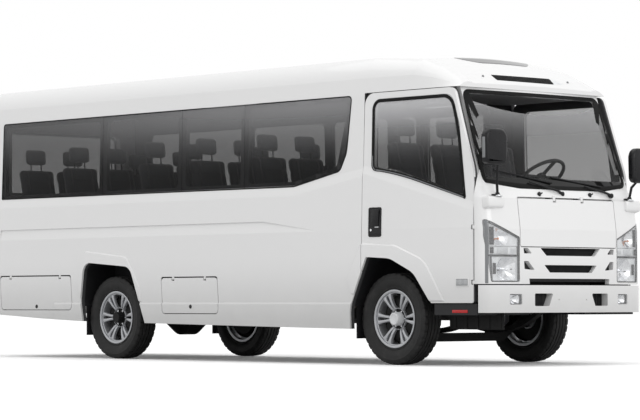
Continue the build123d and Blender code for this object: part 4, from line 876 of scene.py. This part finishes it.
def reach(points, middle, angle):
    """How far an outline lies from a middle point, in one direction."""
    way = Vector((math.cos(angle), math.sin(angle)))
    best = 10.0
    for (ay, az), (by, bz) in zip(points, points[1:] + points[:1]):
        edge = Vector((by - ay, bz - az))
        across = way.x * edge.y - way.y * edge.x
        if abs(across) < 1e-9:
            continue
        start = Vector((ay - middle[0], az - middle[1]))
        along = (start.x * edge.y - start.y * edge.x) / across
        share = (start.x * way.y - start.y * way.x) / across
        if along > 0 and -1e-6 <= share <= 1 + 1e-6:
            best = min(best, along)
    return best


def rings_from(shape, middle, angles, rows):
    """Join rings of points about a middle. Each row gives a distance per angle, and a depth."""
    made = []
    for distances, depth in rows:
        made.append([shape.verts.new((-depth, middle[0] + math.cos(a) * r,
                                      middle[1] + math.sin(a) * r))
                     for a, r in zip(angles, distances)])
    for outer, inner in zip(made[:-1], made[1:]):
        for index in range(len(angles)):
            after = (index + 1) % len(angles)
            shape.faces.new((outer[index], outer[after], inner[after], inner[index]))
    return made


def lamp_room(bezel, bowl, points, middle, radius, depth, facets=0.0):
    """A surround that steps into a bowl, the bowl a circle cut off by the room's walls."""
    angles = [math.tau * step / BOWL_STEPS for step in range(BOWL_STEPS)]
    angles += [math.atan2(z - middle[1], y - middle[0]) % math.tau for y, z in points]
    angles = sorted(set(round(angle, 5) for angle in angles))
    wall = [reach(list(points), middle, angle) for angle in angles]
    rim = [min(radius, edge - 0.006) for edge in wall]
    lip = [min(edge - 0.001, far + 0.004) for far, edge in zip(rim, wall)]
    rings_from(bezel, middle, angles, ((wall, 0.008), (wall, 0.020), (lip, 0.022),
                                       (lip, 0.018), (rim, 0.018), (rim, 0.024)))
    shares = (1.0, 0.96, 0.88, 0.78, 0.66, 0.53, 0.40, 0.28, 0.17)
    rows = []
    for order, share in enumerate(shares):
        wave = [1 + facets * (1 if (index // 4 + order) % 2 else 0) for index in range(len(angles))]
        rows.append(([far * share * swell for far, swell in zip(rim, wave)],
                     0.022 + depth * (1 - share * share)))
    floor = rings_from(bowl, middle, angles, rows)[-1]
    bowl.faces.new(floor)


def rib_row(shape, low, high, count, share, depth, rise):
    """Upright bars side by side between two corners of a front view."""
    pitch = (high[0] - low[0]) / count
    for index in range(count):
        start = low[0] + pitch * index
        add_block(shape, (-depth, start, low[1]), (rise - depth, start + pitch * share, high[1]),
                  pitch * 0.12, 2)


def make_lamp_lens(name, tree, points, radii, sign, thickness=0.003, step=0.012):
    shape = bmesh.new()
    outline_face(shape, points, radii, "yz")
    lattice(shape, step)
    pushed(shape, shape.faces[:], (-thickness, 0, 0))
    return piece(name, follow(shape, tree, sign), lamp_lens, "body")


for side, sign in SIDES:
    make_lamp_lens(f"lamp_cover_{side}", nose_front, lamp_outline, 0.012, sign)

    case = bmesh.new()
    outline_face(case, lamp_outline, 0.012, "yz")
    edges = [edge for edge in case.edges if edge.calc_length() > 0.02]
    bmesh.ops.subdivide_edges(case, edges=edges, cuts=14)
    pushed(case, case.faces[:], (-CASE_DEPTH, 0, 0))
    bmesh.ops.delete(case, geom=[face for face in case.faces
                                 if all(abs(vert.co.x) < 1e-6 for vert in face.verts)],
                     context="FACES_ONLY")
    case_piece = piece(f"lamp_case_{side}", follow(case, nose_front, sign), black_moulding,
                       "body", flat=True)
    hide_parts("front_lamps")

    bezel, bowl = bmesh.new(), bmesh.new()
    lamp_room(bezel, bowl, lower_room, (0.632, 0.710), 0.097, 0.045, 0.012)
    lamp_room(bezel, bowl, upper_room, (0.690, 0.946), 0.076, 0.040, 0.008)
    add_block(bezel, (-0.022, 0.546, 0.813), (-0.012, 0.797, 0.872), 0.002, 2)
    rib_row(bezel, (0.632, 0.820), (0.728, 0.864), 12, 0.5, 0.012, 0.006)
    rib_row(bezel, (0.556, 0.826), (0.606, 0.858), 5, 0.5, 0.012, 0.004)

    dark = bmesh.new()
    add_block(dark, (-0.030, 0.534, 0.801), (-0.003, 0.812, 0.811), 0.002, 2)
    rib_row(dark, (0.760, 0.884), (0.796, 1.014), 5, 0.45, 0.018, 0.008)
    rib_row(dark, (0.766, 0.820), (0.796, 0.866), 4, 0.5, 0.012, 0.006)
    rib_row(dark, (0.742, 0.672), (0.768, 0.752), 4, 0.45, 0.018, 0.008)
    add_block(dark, (-0.028, 0.783, 0.618), (-0.004, 0.790, 0.800), 0.002, 2)
    add_block(dark, (-0.028, 0.534, 0.618), (-0.004, 0.541, 0.936), 0.002, 2)
    for y, z in ((0.574, 0.708), (0.690, 0.700)):
        add_rod(dark, (-0.060, y, z), (-0.034, y, z), 0.006, 0.004)
    lattice(dark, 0.03, (1,))

    marker = bmesh.new()
    for low, high in (((0.802, 0.816), (0.830, 1.056)), ((0.793, 0.622), (0.808, 0.800))):
        add_block(marker, (-0.012, *low), (-0.004, *high), 0.002, 2)
    lattice(marker, 0.012)

    bulb = bmesh.new()
    add_rod(bulb, (-0.058, 0.708, 0.928), (-0.030, 0.708, 0.928), 0.006)
    add_ball(bulb, (-0.026, 0.708, 0.928), 0.009, sides=20, rings=12)
    shield = bmesh.new()
    add_rod(shield, (-0.066, 0.632, 0.706), (-0.030, 0.632, 0.706), 0.013, 0.011, 24)
    add_ball(shield, (-0.030, 0.632, 0.706), 0.013, sides=20, rings=12)

    for label, shape, material, slot in (("bezel", bezel, satin_grey, "rim_alloy"),
                                         ("bowl", bowl, chrome_bowl, "rim_alloy"),
                                         ("trim", dark, black_moulding, "black_plastic"),
                                         ("marker", marker, marker_grey, "lamp_lens"),
                                         ("bulb", bulb, bulb_amber, "lamp_lens"),
                                         ("shield", shield, chrome, "rim_alloy")):
        piece(f"lamp_{label}_{side}", follow(shape, nose_front, sign), material)
print("headlamps made")

# %% [markdown]
# Fog lamps and the bumper's air slots are closed from behind: a reflector under a clear
# cover in one, a black plate with upright bars in the other. Fine upright ribs fill the
# grille's openings, and a grey marker runs down outside each headlamp.

# %% Bumper and grille details
def laid_on(name, tree, points, radii, material, lift, body="body",
            plane="yz", start=AHEAD, way=-ALONG_X, step=0.012, rounding=0.0006):
    """A thin plate that follows the panel under it, standing up by lift."""
    shape = bmesh.new()
    outline_face(shape, points, radii, plane)
    used = {"yz": (1, 2), "xz": (0, 2), "xy": (0, 1)}[plane]
    lattice(shape, step, used)
    drop(shape, tree, start, way, -SUNK)
    return thickened(name, shape, way, lift + SUNK, rounding, material, body)


def sided(points, sign):
    """A front view outline on one side of the vehicle."""
    return [(sign * y, z) for y, z in points]


marker_outline = ((0.811, 0.604), (0.811, 1.058), (0.828, 1.067), (0.828, 0.604))
fog_room = ((0.522, 0.454), (0.522, 0.526), (0.638, 0.526), (0.638, 0.454))
for side, sign in SIDES:
    laid_on(f"lamp_side_marker_{side}", nose_front, sided(marker_outline, sign), 0.005,
            marker_grey, 0.0025)
    bezel, bowl = bmesh.new(), bmesh.new()
    lamp_room(bezel, bowl, fog_room, (0.580, 0.490), 0.050, 0.030, 0.01)
    piece(f"fog_bezel_{side}", follow(bezel, bumper_front, sign), black_moulding)
    piece(f"fog_bowl_{side}", follow(bowl, bumper_front, sign), chrome_bowl)
    fog_outline = ((0.521, 0.453), (0.521, 0.527), (0.639, 0.527), (0.639, 0.453))
    make_lamp_lens(f"fog_cover_{side}", bumper_front, fog_outline, 0.010, sign)

    shape = bmesh.new()
    add_block(shape, (-0.066, 0.215, 0.425), (-0.060, 0.415, 0.550), 0.002, 2)
    for index in range(7):
        y = 0.262 + index * 0.020
        add_block(shape, (-0.062, y, 0.436), (-0.054, y + 0.006, 0.538), 0.0015, 2)
    lattice(shape, 0.03, (1,))
    piece(f"slot_back_{side}", follow(shape, bumper_front, sign), black_moulding)

# the ribs follow the grille's own curve: its place in the middle, and how far it falls back
RIB_PITCH, RIB_FRONT, RIB_SAG, RIB_HALF = 0.012, 3.094, 0.024, 0.505
ribs = bmesh.new()
for low, high, top_half in ((0.690, 0.736, 0.262), (0.812, 0.860, 0.300)):
    count = int(top_half * 2 / RIB_PITCH)
    for index in range(count):
        y = -top_half + (index + 0.5) * top_half * 2 / count
        add_block(ribs, (-0.040, y - 0.0022, low), (-0.030, y + 0.0022, high), 0.0008, 1)
for z in (0.712, 0.836):
    add_block(ribs, (-0.041, -0.30, z - 0.002), (-0.031, 0.30, z + 0.002), 0.0008, 1)
for vert in ribs.verts:
    vert.co.x += RIB_FRONT - RIB_SAG * (vert.co.y / RIB_HALF) ** 2
bmesh.ops.recalc_face_normals(ribs, faces=ribs.faces)
piece("grille_ribs", ribs, black_moulding)
print("bumper and grille details made")

# %% [markdown]
# Each mirror hangs beside its pillar: a painted block on the nose, a bright swivel, a
# black arm and a crowned head with the mirror glass let into its back. The wipers
# lie one over the other along the screen's foot, and a nozzle stands beside each.

# %% Mirrors and wipers
MIRROR_FOOT = (1.034, 0.719)
HEAD_BACK, HEAD_FRONT, HEAD_MIDDLE, HEAD_HALF, HEAD_HEIGHT = 3.056, 3.110, 0.796, 0.116, 0.264
mirror_lows = {"right": 1.456, "left": 1.368}
glass_mirror = metal("glass_mirror", (0.75, 0.77, 0.79), 0.02, 5.0)
gloss_black = moulded("gloss_black", (0.006, 0.006, 0.007), 0.20, 60.0, 0.04, 0.3)


def mirror_head(sign, low):
    """The head's outline drawn through its depth, with a soft crown in front."""
    shape = bmesh.new()
    middle = sign * HEAD_MIDDLE
    points = [(middle + sign * HEAD_HALF * a, low + HEAD_HEIGHT * b)
              for a, b in ((-1.0, 1.0), (-0.94, 0.06), (-0.55, 0.0), (0.62, 0.0), (0.90, 0.08),
                           (1.0, 1.0))]
    face = outline_face(shape, points, (0.078, 0.030, 0.040, 0.040, 0.030, 0.078), "yz")
    rim = pushed(shape, [face], (HEAD_FRONT - HEAD_BACK, 0, 0))
    bmesh.ops.bevel(shape, geom=rim, offset=0.024, segments=6, **BEVEL)
    back = min(shape.faces, key=lambda part: part.calc_center_median().x)
    bmesh.ops.inset_individual(shape, faces=[back], thickness=0.010, use_even_offset=True)
    bmesh.ops.translate(shape, vec=(0.006, 0, 0), verts=back.verts)
    bmesh.ops.translate(shape, vec=(HEAD_BACK, 0, 0), verts=shape.verts)
    bmesh.ops.recalc_face_normals(shape, faces=shape.faces)
    return shape


for side, sign in SIDES:
    low = mirror_lows[side]
    head = piece(f"mirror_head_{side}", mirror_head(sign, low), gloss_black)
    if side == "right":
        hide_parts("mirrors")
    middle = sign * HEAD_MIDDLE
    outer = middle + sign * HEAD_HALF
    shape = blocks(((HEAD_BACK + 0.002, middle - 0.094, low + 0.020),
                    (HEAD_BACK + 0.0055, middle + 0.094, low + 0.236), 0.001, 2))
    piece(f"mirror_glass_{side}", shape, glass_mirror)
    # A grey strip on the head's outer edge is a painted highlight for the black side face where it
    # catches the light.
    shape = blocks(((HEAD_BACK + 0.010, outer - sign * 0.010, low + 0.050),
                    (HEAD_FRONT - 0.018, outer - sign * 0.001, low + 0.200), 0.004, 3))
    piece(f"mirror_painted_highlight_{side}", shape, marker_grey)

    foot_x, foot_y = FRONT_AXLE + MIRROR_FOOT[0] - 0.011, sign * MIRROR_FOOT[1]
    neck = (HEAD_BACK + 0.027, sign * (HEAD_MIDDLE - HEAD_HALF / 4), low + 0.024)
    shape = bmesh.new()
    add_rod(shape, (foot_x, foot_y, 1.252), (foot_x + 0.010, foot_y + sign * 0.016, 1.34), 0.010)
    add_rod(shape, (foot_x + 0.010, foot_y + sign * 0.016, 1.335), neck, 0.010, 0.008)
    add_rod(shape, (foot_x, foot_y, 1.246), (foot_x, foot_y, 1.262), 0.020, 0.013, 20)
    add_block(shape, (foot_x - 0.014, foot_y - 0.052, 1.238), (foot_x + 0.014, foot_y, 1.250),
              0.004, 3)
    piece(f"mirror_arm_{side}", shape, gloss_black)
    shape = bmesh.new()
    add_rod(shape, (foot_x, foot_y, 1.2345), (foot_x, foot_y, 1.2405), 0.036, 0.034, 32)
    add_rod(shape, (foot_x, foot_y, 1.2405), (foot_x, foot_y, 1.246), 0.026, 0.022, 32)
    piece(f"mirror_swivel_{side}", shape, chrome)

    shape = blocks(((2.968, sign * 0.664, 1.136), (3.055, sign * 0.828, 1.234), 0.016, 4))
    for vert in shape.verts:
        if vert.co.z < 1.160:
            vert.co.z += 0.020 * max(0.0, (vert.co.x - 2.99) / 0.065)
    piece(f"mirror_base_{side}", shape, body_white)

screen_front = surface("windscreen", "cab_front")


def on_screen(y, z, lift):
    hit = screen_front.ray_cast(Vector((AHEAD, y, z)), -ALONG_X)[0]
    return Vector((hit.x + lift, y, z))


wiper_rows = (((-0.040, 1.266), (-0.350, 1.350), (-0.655, 1.430), (-0.120, 1.345)),
              ((0.503, 1.266), (0.235, 1.330), (-0.110, 1.390), (0.440, 1.330)))
for order, (pivot, elbow, tip, heel) in enumerate(wiper_rows):
    shape = bmesh.new()
    root = Vector((FRONT_AXLE + 1.036, *pivot))
    add_ball(shape, root, 0.019, (0.6, 1, 1))
    add_rod(shape, root - Vector((0.028, 0, 0)), root, 0.013, 0.017, 20)
    shoulder = on_screen(pivot[0] - 0.050, pivot[1] + 0.022, 0.020)
    add_rod(shape, root + Vector((0.002, 0, 0)), shoulder, 0.011, 0.009)
    middle = on_screen(*elbow, 0.015)
    add_rod(shape, shoulder, middle, 0.009, 0.005)
    ends = on_screen(*tip, 0.008), on_screen(*heel, 0.008)
    add_rod(shape, *ends, 0.0045, 0.0045, 8)
    add_rod(shape, ends[0] + ALONG_X * 0.005, ends[1] + ALONG_X * 0.005, 0.006, 0.006, 6)
    made = piece(f"wiper_{order + 1}", shape, gloss_black)
    if order == 0:
        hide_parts("wipers")

shape = bmesh.new()
for y, z in ((-0.288, 1.259), (0.266, 1.265)):
    at = on_screen(y, z, 0.004)
    add_ball(shape, at, 0.017, (0.7, 1, 1.1))
    add_rod(shape, at + Vector((0.004, 0, 0)), at + Vector((0.006, 0.026, 0.011)), 0.006, 0.005)
piece("washer_nozzles", shape, gloss_black)
print("mirrors and wipers made")

# %% [markdown]
# The roof cap carries an air slot with bars and a grey end, a painted shade for the slot's
# sloping far wall, a tinted roof light above it and two small marker lamps.

# %% Roof cap details
cap_top = surface("roof_front_cap", "cab_front")
mesh_black = moulded("mesh_black", (0.004, 0.004, 0.004), 0.6, 900.0, 0.6, 0.1)
roof_tint = tinted("roof_tint", 0.12, 0.10, 1.0, 1.0, 0.3).material
slot_shape = ((-0.362, 2.159), (0.276, 2.161), (0.270, 2.114), (-0.350, 2.116))
laid_on("cap_slot", cap_top, slot_shape, (0.006, 0.012, 0.012, 0.010), mesh_black, 0.0015)
bars = bmesh.new()
for index in range(3):
    z = 2.124 + index * 0.011
    add_block(bars, (0.0, -0.345 - index * 0.004, z), (0.003, 0.266, z + 0.0025), 0.0008, 1)
lattice(bars, 0.05, (1,))
piece("cap_slot_bars", follow(bars, cap_top), black_moulding)
# The grey end is painted shade: a flat grey plate standing for the slot's sloping far wall.
laid_on("cap_slot_painted_wall", cap_top, ((0.284, 2.158), (0.390, 2.120), (0.278, 2.115)),
        (0.004, 0.010, 0.004), satin_grey, 0.0012)
roof_light = ((2.415, -0.255), (2.415, 0.255), (2.330, 0.360), (2.275, 0.400), (2.275, -0.400),
              (2.330, -0.360))
laid_on("roof_light", cap_top, roof_light, (0.030, 0.030, 0.030, 0.010, 0.010, 0.030), roof_tint,
        0.0015, plane="xy", start=ABOVE, way=-ALONG_Z, step=0.03)
shape = bmesh.new()
for sign in (-1, 1):
    hit = cap_top.ray_cast(Vector((AHEAD, sign * 0.462, 2.140)), -ALONG_X)[0]
    add_ball(shape, hit, 0.011, (0.7, 1, 1))
piece("cap_markers", shape, marker_grey)
print("roof cap dressed")

# %% [markdown]
# The cab doors get sunk black handles, side repeaters and a light strip along two edges
# of the glass. Each step has grips and a red reflector, and latches hold the flaps.

# %% Side details
# rear, front, foot and head of each outline
HANDLE = (1.826, 1.965, 0.958, 1.180)
REPEATER = (2.746, 2.881, 0.581, 0.647)
FLUTES, FLUTE_PITCH = 9, 0.0125


def rectangle(x0, x1, z0, z1, inset=0.0):
    x0, x1, z0, z1 = x0 + inset, x1 - inset, z0 + inset, z1 - inset
    return ((x0, z0), (x0, z1), (x1, z1), (x1, z0))


def dress_door(side, sign):
    """One cab door's handle, repeater and light strip."""
    skin, body = door_skins[side], f"door_front_{side}"
    start, way = sign * BESIDE, -sign * ALONG_Y

    def plate(name, points, radius, material, lift, rounding=0.0008):
        return laid_on(name, skin, points, radius, material, lift, body, "xz", start, way,
                       0.03, rounding)

    def skin_at(x, z):
        return skin.ray_cast(Vector((x, start, z)), way)[0].y

    plate(f"handle_pan_{side}", rectangle(*HANDLE), 0.016, gloss_black, 0.0025)
    seal(f"handle_rim_{side}", rectangle(*HANDLE), 0.016, "xz", 0.010, 0.005, skin,
         start, way, body, 0.02, gloss_black)
    x0, x1, z0, z1 = HANDLE
    y = skin_at(x0, (z0 + z1) / 2)
    shape = blocks(((x0 + 0.040, y + sign * 0.002, z0 + 0.078),
                    (x1 - 0.026, y + sign * 0.013, z1 - 0.016), 0.005, 4))
    for vert in shape.verts:
        share = (z1 - vert.co.z) / (z1 - z0)
        vert.co.x += 0.012 * (0.5 - share)
        vert.co.y -= sign * 0.006 * share
    piece(f"handle_lever_{side}", shape, gloss_black, body)
    shape = bmesh.new()
    add_rod(shape, (x0 + 0.030, y, z0 + 0.052), (x0 + 0.030, y + sign * 0.007, z0 + 0.052),
            0.010, 0.009, 24)
    add_block(shape, (x0 + 0.070, y, z0 + 0.070), (x0 + 0.112, y + sign * 0.006, z0 + 0.077),
              0.002, 3)
    piece(f"handle_lock_{side}", shape, chrome, body)

    plate(f"repeater_frame_{side}", rectangle(*REPEATER), 0.006, body_white, 0.005,
          0.002)
    plate(f"repeater_glass_{side}", rectangle(*REPEATER, 0.009), 0.003, marker_grey, 0.0065,
          0.0015)
    x0, x1, z0, z1 = REPEATER
    shape = bmesh.new()
    for index in range(FLUTES):
        x = x0 + 0.016 + index * FLUTE_PITCH
        y = skin_at(x, (z0 + z1) / 2)
        add_block(shape, (x, y, z0 + 0.013), (x + 0.006, y + sign * 0.0075, z1 - 0.013), 0.002, 2)
    piece(f"repeater_flutes_{side}", shape, satin_grey, body)

    strip = seal(f"glass_strip_{side}", shrunk(door_window, 0.010), door_window_radii, "xz", 0.008,
                 0.0065, skin, start, way, body, material=marker_grey)
    foot_rear, foot_front = (Vector((door_window[corner][0], 0, door_window[corner][1]))
                             for corner in (5, 4))
    across = (foot_front - foot_rear).cross(ALONG_Y)
    shape = bmesh.new()
    shape.from_mesh(strip.data)
    cut(shape, foot_rear + ALONG_Z * 0.075, across if across.z > 0 else -across,
        clear_outer=True)
    cut(shape, (foot_front.x - 0.022, 0, 0), ALONG_X, clear_outer=True)
    shape.to_mesh(strip.data)
    shape.free()


for side, sign in SIDES:
    dress_door(side, sign)
    reflector = blocks(((2.699, sign * 0.8475, 0.391), (2.855, sign * 0.8515, 0.413), 0.0015, 3))
    piece(f"step_reflector_{side}", reflector, red_lens, "body")
    grips = blocks(*(((2.535 + index * 0.038, sign * 0.600, 0.4545),
                      (2.551 + index * 0.038, sign * 0.835, 0.4575), 0.001, 1)
                     for index in range(11)))
    piece(f"step_grips_{side}", grips, mat_rubber, "body")

latches = (("hatch_rear_right", -1, -2.326, 0.436), ("hatch_mid_right", -1, -0.251, 0.436),
           ("hatch_rear_left", 1, -2.326, 0.436))
for name, sign, x, z in latches:
    skin = surface(name)
    y = skin.ray_cast(Vector((x, sign * BESIDE, z)), -sign * ALONG_Y)[0].y
    shape = bmesh.new()
    add_rod(shape, (x, y - sign * 0.001, z), (x, y + sign * 0.003, z), 0.017, 0.015, 32)
    add_block(shape, (x - 0.010, y, z - 0.0025), (x + 0.010, y + sign * 0.0045, z + 0.0025),
              0.001, 2)
    piece(f"{name}_latch", shape, black_moulding, name)
print("side details made")

# %% [markdown]
# The entry door's pane gets a ring like the cab's, and the tail gets red and amber
# lamps, a seal round its window and a handle on its lid.

# %% Left side and tail
entry_skin = surface("entry_door_glass", "entry_door")
entry_window = ((0.762, 1.402), (0.762, 1.994), (1.432, 1.994), (1.432, 1.402))
seal("entry_seal", entry_window, 0.050, "xz", 0.018, 0.004, entry_skin, BESIDE,
     -ALONG_Y, "entry_door")
tail_skin = surface("body_glass", "rear_wall", "tail_lamps", "boot_lid")
tail_window = ((-0.615, 1.425), (-0.615, 1.985), (0.615, 1.985), (0.615, 1.425))
seal("tail_seal", tail_window, 0.060, "yz", 0.020, 0.004, tail_skin, BEHIND,
     ALONG_X, step=0.05)
for side, sign in SIDES:
    for label, low, high, material in (("stop", 0.908, 1.012, red_lens),
                                       ("turn", 1.018, 1.122, amber_lens),
                                       ("top", 1.128, 1.232, red_lens)):
        points = sided(((0.693, low), (0.693, high), (0.797, high), (0.797, low)), sign)
        laid_on(f"tail_{label}_{side}", tail_skin, points, 0.010, material, 0.004, "body",
                "yz", BEHIND, ALONG_X, 0.03, 0.002)
x = tail_skin.ray_cast(Vector((BEHIND, 0, 0.74)), ALONG_X)[0].x
shape = blocks(((x + 0.001, -0.085, 0.715), (x - 0.009, 0.085, 0.750), 0.004, 4),
               ((x + 0.001, -0.062, 0.722), (x - 0.0105, 0.062, 0.732), 0.002, 3))
piece("boot_handle", shape, gloss_black, "boot_lid")
print("tail dressed")

# %% [markdown]
# A seat is three stuffed pads on a leg. Each pad starts as a rounded block, a little
# under size, is blown up as cloth for a few steps, and then gets its sewn channels
# pulled in. The pads are copied to every place that the frame's seats have.

# %% Seats
SEAT_FLOOR, CAB_FLOOR, CAB_DROP = 0.700, 0.870, 0.120
HEAD_REST_PLACE = -0.060
seat_rows = (-4.735, -4.111, -3.071, -2.410, -1.655)
seat_columns = {"right": -0.576, "middle": -0.170, "left": 0.576}
cab_columns, CAB_ROW = (-0.545, -0.090, 0.440), -0.120
PAD_CELL, PAD_PRESSURE, PAD_FRAMES = 0.013, 4.0, 20
# columns: corners, rounding, lean about Y in degrees, place, furthest a point may move
pad_rows = {
    "cushion": ((-0.195, -0.178, -0.046), (0.195, 0.178, 0.046), 0.036, -4.0,
                (0.292, 0.0, 0.402), 0.010),
    "back": ((-0.040, -0.178, -0.240), (0.040, 0.178, 0.240), 0.034, -12.5,
             (-0.008, 0.0, 0.700), 0.009),
    "head": ((-0.027, -0.104, -0.066), (0.027, 0.104, 0.066), 0.024, -6.0,
             (-0.062, 0.0, 1.042), 0.007),
}


def settled(made):
    """The mesh that an object's modifiers give."""
    scene = bpy.context.evaluated_depsgraph_get()
    return bpy.data.meshes.new_from_object(made.evaluated_get(scene))


def stuffed(name, low, high, rounding, limit):
    """A rounded block, remeshed, blown up as cloth, and held near where it began."""
    shape = bmesh.new()
    add_block(shape, low, high, rounding, 4)
    mesh = bpy.data.meshes.new(name)
    shape.to_mesh(mesh)
    shape.free()
    pad = bpy.data.objects.new(name, mesh)
    bpy.context.scene.collection.objects.link(pad)
    remesh = pad.modifiers.new("cells", "REMESH")
    remesh.mode, remesh.voxel_size = "VOXEL", PAD_CELL
    pad.data = settled(pad)
    pad.modifiers.clear()
    starts = [vert.co.copy() for vert in pad.data.vertices]
    cloth = pad.modifiers.new("stuffing", "CLOTH").settings
    cloth.use_pressure, cloth.uniform_pressure_force = True, PAD_PRESSURE
    cloth.effector_weights.gravity = 0.0
    for step in range(1, PAD_FRAMES + 1):
        bpy.context.scene.frame_set(step)
    blown = settled(pad)
    pad.modifiers.clear()
    for vert, start, moved in zip(pad.data.vertices, starts, blown.vertices):
        way = moved.co - start
        if way.length > limit:
            way *= limit / way.length
        vert.co = start + way
    bpy.context.scene.frame_set(1)
    shape = bmesh.new()
    shape.from_mesh(pad.data)
    bmesh.ops.smooth_vert(shape, verts=shape.verts, factor=0.5, use_axis_x=True,
                          use_axis_y=True, use_axis_z=True)
    bpy.data.objects.remove(pad)
    return shape


def groove(shape, axis, places, depth, half, thin):
    """Pull the skin in along sewn lines that cross one axis. thin is the pad's thin way."""
    for vert in shape.verts:
        for place in places:
            near = abs(vert.co[axis] - place) / half
            if near < 1.0:
                share = (1 - near * near) ** 2 * depth
                vert.co[thin] -= math.copysign(min(share, abs(vert.co[thin])), vert.co[thin])


def make_pads():
    """The three pads of one seat, set in the seat's own place."""
    joined = bmesh.new()
    for label, (low, high, rounding, lean, place, limit) in pad_rows.items():
        pad = stuffed(f"pad_{label}", low, high, rounding, limit)
        if label == "cushion":
            groove(pad, 1, (-0.110, 0.110), 0.012, 0.022, 2)
            groove(pad, 0, (-0.060, 0.060), 0.008, 0.020, 2)
        elif label == "back":
            groove(pad, 1, (-0.110, 0.110), 0.011, 0.022, 0)
            groove(pad, 2, (-0.120, 0.0, 0.120), 0.007, 0.020, 0)
        else:
            groove(pad, 1, (-0.085, 0.085), 0.005, 0.014, 0)
        bmesh.ops.rotate(pad, cent=(0, 0, 0), verts=pad.verts,
                         matrix=Matrix.Rotation(math.radians(lean), 3, "Y"))
        bmesh.ops.translate(pad, vec=place, verts=pad.verts)
        absorb(joined, pad)
    return joined


def seat_frame(shape, drop_by, shift):
    """Leg, foot plate, shell edges and head rest stalks of one seat."""
    add_block(shape, (0.110, shift - 0.028, 0.004), (0.410, shift + 0.028, 0.352 - drop_by), 0.008, 3)
    add_block(shape, (0.080, shift - 0.060, 0.0), (0.440, shift + 0.060, 0.006), 0.002, 2)
    add_block(shape, (0.060, -0.165, 0.350 - drop_by), (0.480, 0.165, 0.362 - drop_by), 0.005, 2)
    for y in (-0.055, 0.055):
        add_rod(shape, (-0.052, y, 0.925 - drop_by), (-0.058, y, 0.995 - drop_by), 0.006, sides=12)
    for y in (-0.186, 0.186):
        add_block(shape, (0.030, y - 0.006, 0.380 - drop_by), (0.120, y + 0.006, 0.470 - drop_by),
                  0.004, 3)


def seat_places():
    """Group, place of the seat's own middle, drop and leg shift of every seat."""
    places = []
    for row in seat_rows:
        for label, y in seat_columns.items():
            if row == seat_rows[-1] and label == "left":
                continue
            at = Vector((FRONT_AXLE + row - HEAD_REST_PLACE, y, SEAT_FLOOR))
            places.append((label, at, 0.0, -0.110 if y > 0 else 0.110))
    for y in cab_columns:
        at = Vector((FRONT_AXLE + CAB_ROW - HEAD_REST_PLACE, y, CAB_FLOOR))
        places.append(("cab", at, CAB_DROP, 0.0))
    return places


pads = make_pads()
pad_mesh = bpy.data.meshes.new("pads")
pads.to_mesh(pad_mesh)
pads.free()
groups = {label: bmesh.new() for label in ("right", "middle", "left", "cab")}
frames_of_seats = bmesh.new()
for label, at, drop_by, shift in seat_places():
    seat, support = bmesh.new(), bmesh.new()
    seat.from_mesh(pad_mesh)
    seat_frame(support, drop_by, shift)
    bmesh.ops.translate(seat, vec=at - Vector((0, 0, drop_by)), verts=seat.verts)
    bmesh.ops.translate(support, vec=at, verts=support.verts)
    absorb(groups[label], seat)
    absorb(frames_of_seats, support)
for label, shape in groups.items():
    made = piece(f"seat_pads_{label}", shape, seat_cloth, "body")
    if label == "right":
        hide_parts("seats")
piece("seat_frames", frames_of_seats, chassis_black, "body")
print("seats made")

# %% [markdown]
# A black shield closes the gap under the cab behind the right step, and a white gutter
# lies in the lid's shut line. Inside, the cab gets a headliner, a hood and air vents.

# %% Under the cab and inside
ridges = [((x, -0.612, 0.276), (x + 0.030, -0.606, 0.396), 0.002, 2)
          for x in (2.470 + index * 0.115 for index in range(5))]
shape = blocks(((2.430, -0.606, 0.268), (2.985, -0.600, 0.402), 0.002, 2), *ridges)
piece("step_shield", shape, chassis_black, "body")
shape = blocks(*(((2.990, low, 1.206), (3.002, high, 1.248), 0.003, 2)
                 for low, high in ((-0.520, -0.180), (-0.120, 0.120), (0.180, 0.520))))
piece("lid_gutter", shape, body_white, "body")
print("shield and gutter made")

headliner_grey = moulded("headliner_grey", (0.20, 0.20, 0.205), 0.8, 400.0, 0.2, 0.2)
shape = blocks(((1.790, -0.690, 2.020), (2.640, 0.690, 2.027), 0.003, 3))
piece("cab_headliner", shape, headliner_grey, "body")

dash_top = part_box("dashboard")[1][2]
shape = blocks(((2.585, 0.190, dash_top - 0.010), (2.760, 0.560, dash_top + 0.045), 0.020, 4))
for y in (0.290, 0.460):
    add_rod(shape, (2.588, y, dash_top + 0.012), (2.580, y, dash_top + 0.012), 0.034, 0.036, 32)
piece("dash_hood", shape, dash_grain, "body")
shape = blocks(*(((2.562, y - 0.045, 1.140 + step * 0.012),
                  (2.572, y + 0.045, 1.146 + step * 0.012), 0.0015, 2)
                 for y in (-0.640, -0.180, 0.060, 0.680) for step in range(5)))
piece("dash_vents", shape, gloss_black, "body")
print("dash dressed")
